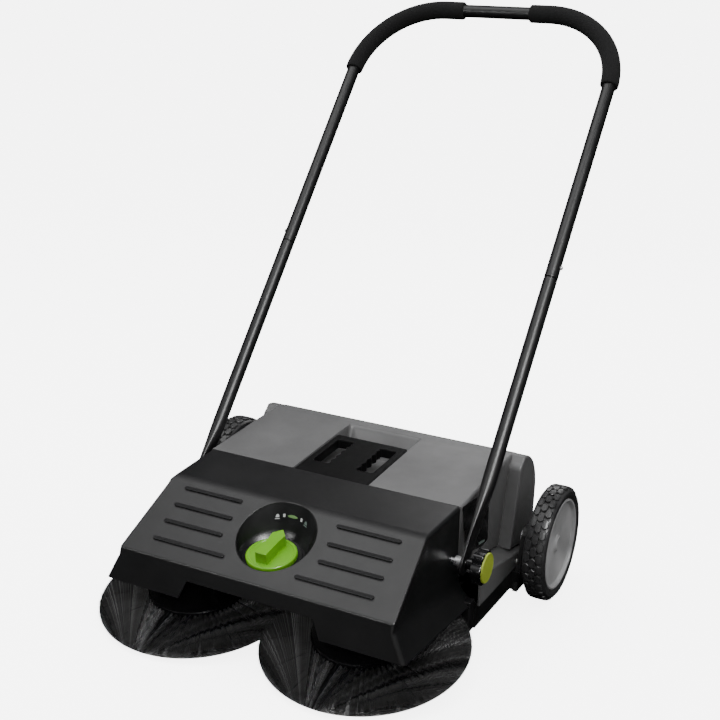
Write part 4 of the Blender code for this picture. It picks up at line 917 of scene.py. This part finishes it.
def bristle_fan(centre):
    """Every bristle of one brush, tuft by tuft."""
    across = Vector((1, 0, 0))
    ahead = BRUSH_AXIS.cross(across)
    root_radius = HUB_FOOT[0] - 0.004
    bm = bmesh.new()
    for row in range(ROWS):
        for tuft in range(TUFTS):
            middle_turn = 2 * pi * (tuft + 0.5 * row) / TUFTS + rng.uniform(-0.006, 0.006)
            splay = rng.uniform(-0.02, 0.02)
            for _ in range(PER_TUFT):
                spot = rng.uniform(0, 2 * pi)
                off = 0.0026 * rng.random() ** 0.5
                root_turn = middle_turn + off * cos(spot) / root_radius
                root_height = 0.0205 - 0.0045 * row + off * sin(spot)
                fan = rng.gauss(0, 0.014) + off * cos(spot) / root_radius * 0.5 + splay
                tip_turn = middle_turn + fan
                length = BRISTLE_TIP + rng.gauss(0, 0.0006) - (0.004 if rng.random() < 0.04 else 0)
                tip_height = 0.002 + rng.uniform(-0.002, 0.0022) + off * sin(spot) * 0.6
                sag = rng.uniform(0.002, 0.0045)
                points = []
                for k in range(4):
                    share = k / 3
                    turn = mix(root_turn, tip_turn, share ** 1.15)
                    outward = across * cos(turn) + ahead * sin(turn)
                    height = mix(root_height, tip_height, share) + sag * 4 * share * (1 - share)
                    points.append(centre + outward * mix(root_radius, length, share) + BRUSH_AXIS * height)
                thread(bm, points, 0.00042)
    return mesh_of(bm)


def thread(bm, points, radius):
    """A three-sided thread that tapers to its tip."""
    along = (points[-1] - points[0]).normalized()
    side = along.cross(BRUSH_AXIS).normalized()
    up = side.cross(along)
    rows = []
    for k, point in enumerate(points[:-1]):
        size = radius * (1 - 0.12 * k)
        rows.append([bm.verts.new(point + (side * cos(a) + up * sin(a)) * size) for a in full_turn(3, 0.75)])
    tip = bm.verts.new(points[-1])
    bm.faces.new(rows[0][::-1])
    skin(bm, zip(rows, rows[1:]))
    for i in range(3):
        bm.faces.new((rows[-1][i], rows[-1][(i + 1) % 3], tip))


def make_brushes():
    for side, sign in SIDES.items():
        centre = Vector((sign * BRUSH.x, BRUSH.y, BRUSH.z))
        (foot_r, foot_h), (top_r, top_h) = HUB_FOOT, HUB_TOP
        root, tip = foot_r - 0.006, BRISTLE_TIP - 0.0025
        under = lathe([(root, 0.015), (tip, 0.0018), (tip, 0.0008), (root, 0.012)], centre, BRUSH_AXIS, 96)
        fan = joined(bristle_fan(centre), under)
        piece(f"bristles_{side}", fan, f"brush_{side}", bristles[side], [f"bristle_ring_{side}"],
              weighted=False, crease=60)
        wall, boss, bore = 0.003, 0.014, 0.0063
        hub = [(bore, 0.01), (foot_r - 0.012, 0.01), (foot_r - 0.004, 0.0125), (foot_r - 0.0005, 0.0165),
               (foot_r, 0.0185), (foot_r, foot_h - 0.001), (foot_r - 0.0006, foot_h + 0.0008),
               (foot_r - 0.0022, foot_h + 0.002), (top_r + 0.0016, top_h - 0.01), (top_r, top_h - 0.0012),
               (top_r - 0.0008, top_h - 0.0003), (top_r - 0.0015, top_h), (top_r - wall, top_h),
               (foot_r - wall - 0.003, foot_h), (foot_r - 0.012, 0.014), (boss, 0.014), (boss, 0.05),
               (bore, 0.05)]
        drum = lathe(hub, centre, BRUSH_AXIS, 128)
        piece(f"hub_drum_{side}", drum, f"brush_{side}", drum_black, [f"brush_hub_{side}"])


# ---------------- push handle


PLUG_RADIUS, PLUG_END = 0.0101, 0.588


def leg_point(along, x=0.0, out=0.0):
    """A point so far up the leg from the pivot, and so far forward of the leg's line."""
    return PIVOT + Vector((x, 0, 0)) + LEG * along + LEG_FRONT * out


def smooth(share):
    share = max(0, min(1, share))
    return share * share * (3 - 2 * share)


def lower_tube(sign):
    """Tube that is flattened at the pivot and round from 150 mm up, with a rounded end."""
    thick, wide, end = 0.005, 0.034, -0.022
    turns = full_turn(48, 0.5)
    stations = [(end + 0.017 * (1 - cos(a)), sin(a)) for a in (pi / 2 * (k + 0.25) / 6.25 for k in range(7))]
    stations += [(along, 1) for along in (0.01, *(0.025 + 0.01 * k for k in range(12)), 0.15, 0.17,
                                          0.3, 0.42, JOINT_AT - 0.0022)]
    rings = []
    for along, width_share in stations:
        share = smooth((along - 0.03) / 0.12)
        half_x = thick / 2 + share * (TUBE_RADIUS - thick / 2)
        half_w = (wide / 2 + smooth((along - 0.02) / 0.13) * (TUBE_RADIUS - wide / 2)) * width_share
        ring = []
        for a in turns:
            x = abs(cos(a)) ** (0.22 + 0.78 * share) * (1 if cos(a) > 0 else -1)
            w = abs(sin(a)) ** (0.8 + 0.2 * share) * (1 if sin(a) > 0 else -1)
            ring.append(leg_point(along, sign * LEG_X + half_x * x, half_w * w))
        rings.append(ring)
    ends = [(JOINT_AT - 0.0012, TUBE_RADIUS - 0.0002), (JOINT_AT - 0.0006, TUBE_RADIUS - 0.001),
            (JOINT_AT - 0.0004, PLUG_RADIUS), (PLUG_END, PLUG_RADIUS)]
    for along, radius in ends:
        rings.append([leg_point(along, sign * LEG_X + radius * cos(a), radius * sin(a)) for a in turns])
    return loft(rings)


def bow_path():
    """Centre line of the bow's bend in the handle's plane, as (x, distance up the leg)."""
    return [(LEG_X + BEND_RADIUS * (cos(a) - 1), BAR_AT + BEND_RADIUS * (sin(a) - 1)) for a in quarter(20)]


def make_handle():
    for side, sign in SIDES.items():
        piece(f"leg_tube_{side}", lower_tube(sign), "handle", tube_paint,
              [f"lower_tube_{side}"])
    start = JOINT_AT + 0.0008
    half = [(LEG_X, s) for s in (start, start + 0.0004, start + 0.0012, 0.7, 0.82)] + bow_path()
    full = half + [(-x, s) for x, s in half[::-1]]
    ends = [TUBE_RADIUS - 0.001, TUBE_RADIUS - 0.0003]
    radii = ends + [TUBE_RADIUS] * (len(full) - 4) + ends[::-1]
    piece("handle_bow", tube([leg_point(s, x) for x, s in full], radii, 48, LEG_FRONT), "handle", tube_paint,
          ["upper_bow"])
    for side, sign in SIDES.items():
        make_grip(side, sign)
        make_snap_pin(side, sign)
        make_pivot(side, sign)


def make_grip(side, sign):
    """Foam sleeve round the bend, its ends softly rounded."""
    ends = [(0.0, FOAM_RADIUS - 0.0035), (0.0008, FOAM_RADIUS - 0.0012), (0.0024, FOAM_RADIUS - 0.0002)]
    foot = BAR_AT - BEND_RADIUS + 0.0015
    first = [((LEG_X, foot + d), radius) for d, radius in ends]
    bend = [((x, s), FOAM_RADIUS) for x, s in bow_path()[1:]]
    bar = [((x, BAR_AT), FOAM_RADIUS) for x in (0.104, 0.097, 0.09, 0.083, 0.076)]
    last = [((FOAM_END_X + d, BAR_AT), radius) for d, radius in reversed(ends)]
    spine, radii = zip(*first, *bend, *bar, *last)
    sleeve = tube([leg_point(s, sign * x) for x, s in spine], radii, 48, LEG_FRONT)
    made = piece(f"foam_sleeve_{side}", sleeve, "handle", foam, [f"foam_grip_{side}"], crease=50)


def make_snap_pin(side, sign):
    radius, shoulder = 0.0035, 0.0138
    dome = [(0, 0.001), (radius, 0.001), (radius, shoulder)]
    dome += [(radius * cos(a), shoulder + 0.0027 * sin(a)) for a in quarter(6)[1:]]
    pin = lathe(dome, leg_point(BUTTON_AT, sign * LEG_X), (sign, 0, 0), 32)
    piece(f"snap_pin_{side}", pin, f"snap_button_{side}", steel, [f"snap_button_{side}"])


def make_pivot(side, sign):
    axis = (sign, 0, 0)
    here = Vector((0, PIVOT.y, PIVOT.z))
    bolt = [(0, 0.243), (0.004, 0.243), (0.004, 0.254), (0.008, 0.254), (0.0085, 0.2545),
            (0.0085, 0.2655), (0.008, 0.266), (0.004, 0.266), (0.004, 0.3), (0, 0.3)]
    piece(f"pivot_pin_{side}", lathe(bolt, here, axis, 48), "chassis", steel,
          [f"pivot_bolt_{side}"])
    lobes = 6
    outline = []
    for a in full_turn(16 * lobes):
        radius = 0.0272 + 0.0028 * cos(lobes * a)
        outline.append(Vector((PIVOT.y + radius * cos(a), PIVOT.z + radius * sin(a))))
    knob = side_slab(outline, 0.29, CLAMP_FACE, 0.0028, sign)
    boss = [(0.0045, 0.2745), (0.0088, 0.2745), (0.0095, 0.2752), (0.0095, 0.2915), (0.0045, 0.2915)]
    knob = joined(knob, lathe(boss, here, axis, 48))
    piece(f"clamp_grip_{side}", knob, f"clamp_{side}", black_gloss, [f"clamp_knob_{side}"])
    cap = [(0, 0.308), (0.0255, 0.308), (0.0255, 0.31), (0.025, 0.3107), (0.0238, 0.3111),
           (0.0228, 0.3107), (0.0215, 0.3108), (0.0, 0.3113)]
    piece(f"clamp_cap_{side}", lathe(cap, here, axis, 64), f"clamp_{side}", cap_green,
          [f"knob_cap_{side}"])


# ---------------- inner works, shaped as packed


def finish_node(name, look):
    obj = nodes[name]
    obj.data.materials.clear()
    obj.data.materials.append(look)


def finish_inner_works():
    plain = {"chassis_frame": black_trim, "dirt_lip": seal_rubber, "arm_pin": steel, "knob_shaft": black_trim,
             "roller_arm": black_trim, "roller_pin": steel, "support_roller": rim_grey}
    paired = {"axle": steel, "drive_belt": seal_rubber, "spindle_bush": nylon, "wheel_gear": black_trim,
              "pinion_shaft": nylon, "rear_pulley": black_trim, "jackshaft": steel,
              "front_pulley": black_trim, "bevel_pinion": nylon, "crown_spindle": nylon}
    for name, look in plain.items():
        finish_node(name, look)
    for name, look in paired.items():
        for side in SIDES:
            finish_node(f"{name}_{side}", look)


# ---------------- floor, lights and camera


SKY = (0.1, 2.1)


def make_stage():
    """Pale floor that curves up far away, under a studio sky that is brightest overhead."""
    sweep = [(60 + 15 * sin(a), 15 * (1 - cos(a))) for a in quarter(8)]
    bm = bmesh.new()
    rows = []
    for radius, height in [(0.0, 0.0), (3.0, 0.0), (12.0, 0.0), *sweep, (75.0, 50.0)]:
        rows.append([bm.verts.new((radius * cos(a), radius * sin(a), height - 0.0002))
                     for a in full_turn(64)])
    skin(bm, zip(rows[1:], rows))
    floor = closed_mesh(bm)
    floor.shade_smooth()
    floor.materials.append(shader_of("floor_white", (0.9, 0.9, 0.9), 0.8, Emission_Color=(1, 1, 1, 1),
                                     Emission_Strength=5.0))
    obj = bpy.data.objects.new("floor", floor)
    scene.collection.objects.link(obj)
    obj.visible_glossy = False
    obj.visible_diffuse = False


def make_sky():
    world = bpy.data.worlds.new("studio")
    world.use_nodes = True
    height = wired(world, "SeparateXYZ", {"Vector": wired(world, "TexCoord", {}, "Generated")}, "Z")
    drive(world, "Strength", remap(world, height, *SKY, -0.1, 1.0), "Background")
    world.node_tree.nodes["Background"].inputs["Color"].default_value = (1, 1, 1, 1)
    scene.world = world
    world.cycles_visibility.glossy = False


SOFTBOXES = (
    ("overhead", (-0.3, -0.05, 0.95), 3.2, (1.9, 2.4), 3.1, True),
    ("key", (0.43, -0.48, 0.76), 3.0, (0.7, 0.7), 4.0, True),
    ("key_glint", (0.43, -0.48, 0.76), 2.9, (0.6, 0.7), 80.0, False),
    ("behind", (-0.12, 0.88, 0.45), 3.2, (1.2, 0.8), 3.8, True),
    ("front", (0.25, -0.88, 0.42), 3.2, (1.2, 0.8), 2.4, True),
    ("right", (0.93, 0.05, 0.35), 3.0, (0.8, 1.6), 0.3, True),
    ("left", (-0.92, -0.25, 0.3), 3.0, (0.5, 1.8), 0.8, True),
    ("front_glint", (-0.43, -0.8, 0.44), 2.9, (0.6, 0.5), 22.0, False),
)


def make_lights():
    """Softboxes: direction, distance, size, brightness and whether each lights dull surfaces."""
    for name, way, distance, (width, height), brightness, fills in SOFTBOXES:
        light = bpy.data.lights.new(name, "AREA")
        light.shape = "RECTANGLE"
        light.size, light.size_y = width, height
        light.energy = brightness * pi * width * height
        obj = bpy.data.objects.new(name, light)
        toward = Vector(way).normalized()
        target = Vector((0, -0.2, 0.12))
        across = Vector((0, 0, 1)).cross(toward)
        obj.matrix_world = axis_frame(target + toward * distance, toward, across)
        obj.visible_camera = False
        obj.visible_diffuse = fills
        scene.collection.objects.link(obj)


def make_camera():
    """Seen from the front right, a little above, with a slight roll."""
    lens, sensor = 60.97, 36.0
    yaw, pitch, roll = radians(26.94), radians(-16.75), radians(2.13)
    ahead = Vector((-sin(yaw) * cos(pitch), cos(yaw) * cos(pitch), sin(pitch)))
    across = Vector((cos(yaw), sin(yaw), 0))
    above = across.cross(ahead)
    right = across * cos(roll) + above * sin(roll)
    up = above * cos(roll) - across * sin(roll)
    camera = bpy.data.cameras.new("camera")
    camera.lens, camera.sensor_width = lens, sensor
    obj = bpy.data.objects.new("camera", camera)
    turn = Matrix((right, up, -ahead)).transposed().to_4x4()
    obj.matrix_world = ORIGIN @ Matrix.Translation((0.9311, -1.7066, 1.0386)) @ turn
    scene.collection.objects.link(obj)
    scene.camera = obj


make_camera()
make_stage()
make_sky()
make_lights()
make_hood()
make_bowl()
make_ribs()
make_marks()
make_height_knob()
make_carry_handle()
make_hopper()
make_skirts()
make_wheels()
make_brushes()
make_handle()
finish_inner_works()

bpy.context.view_layer.update()
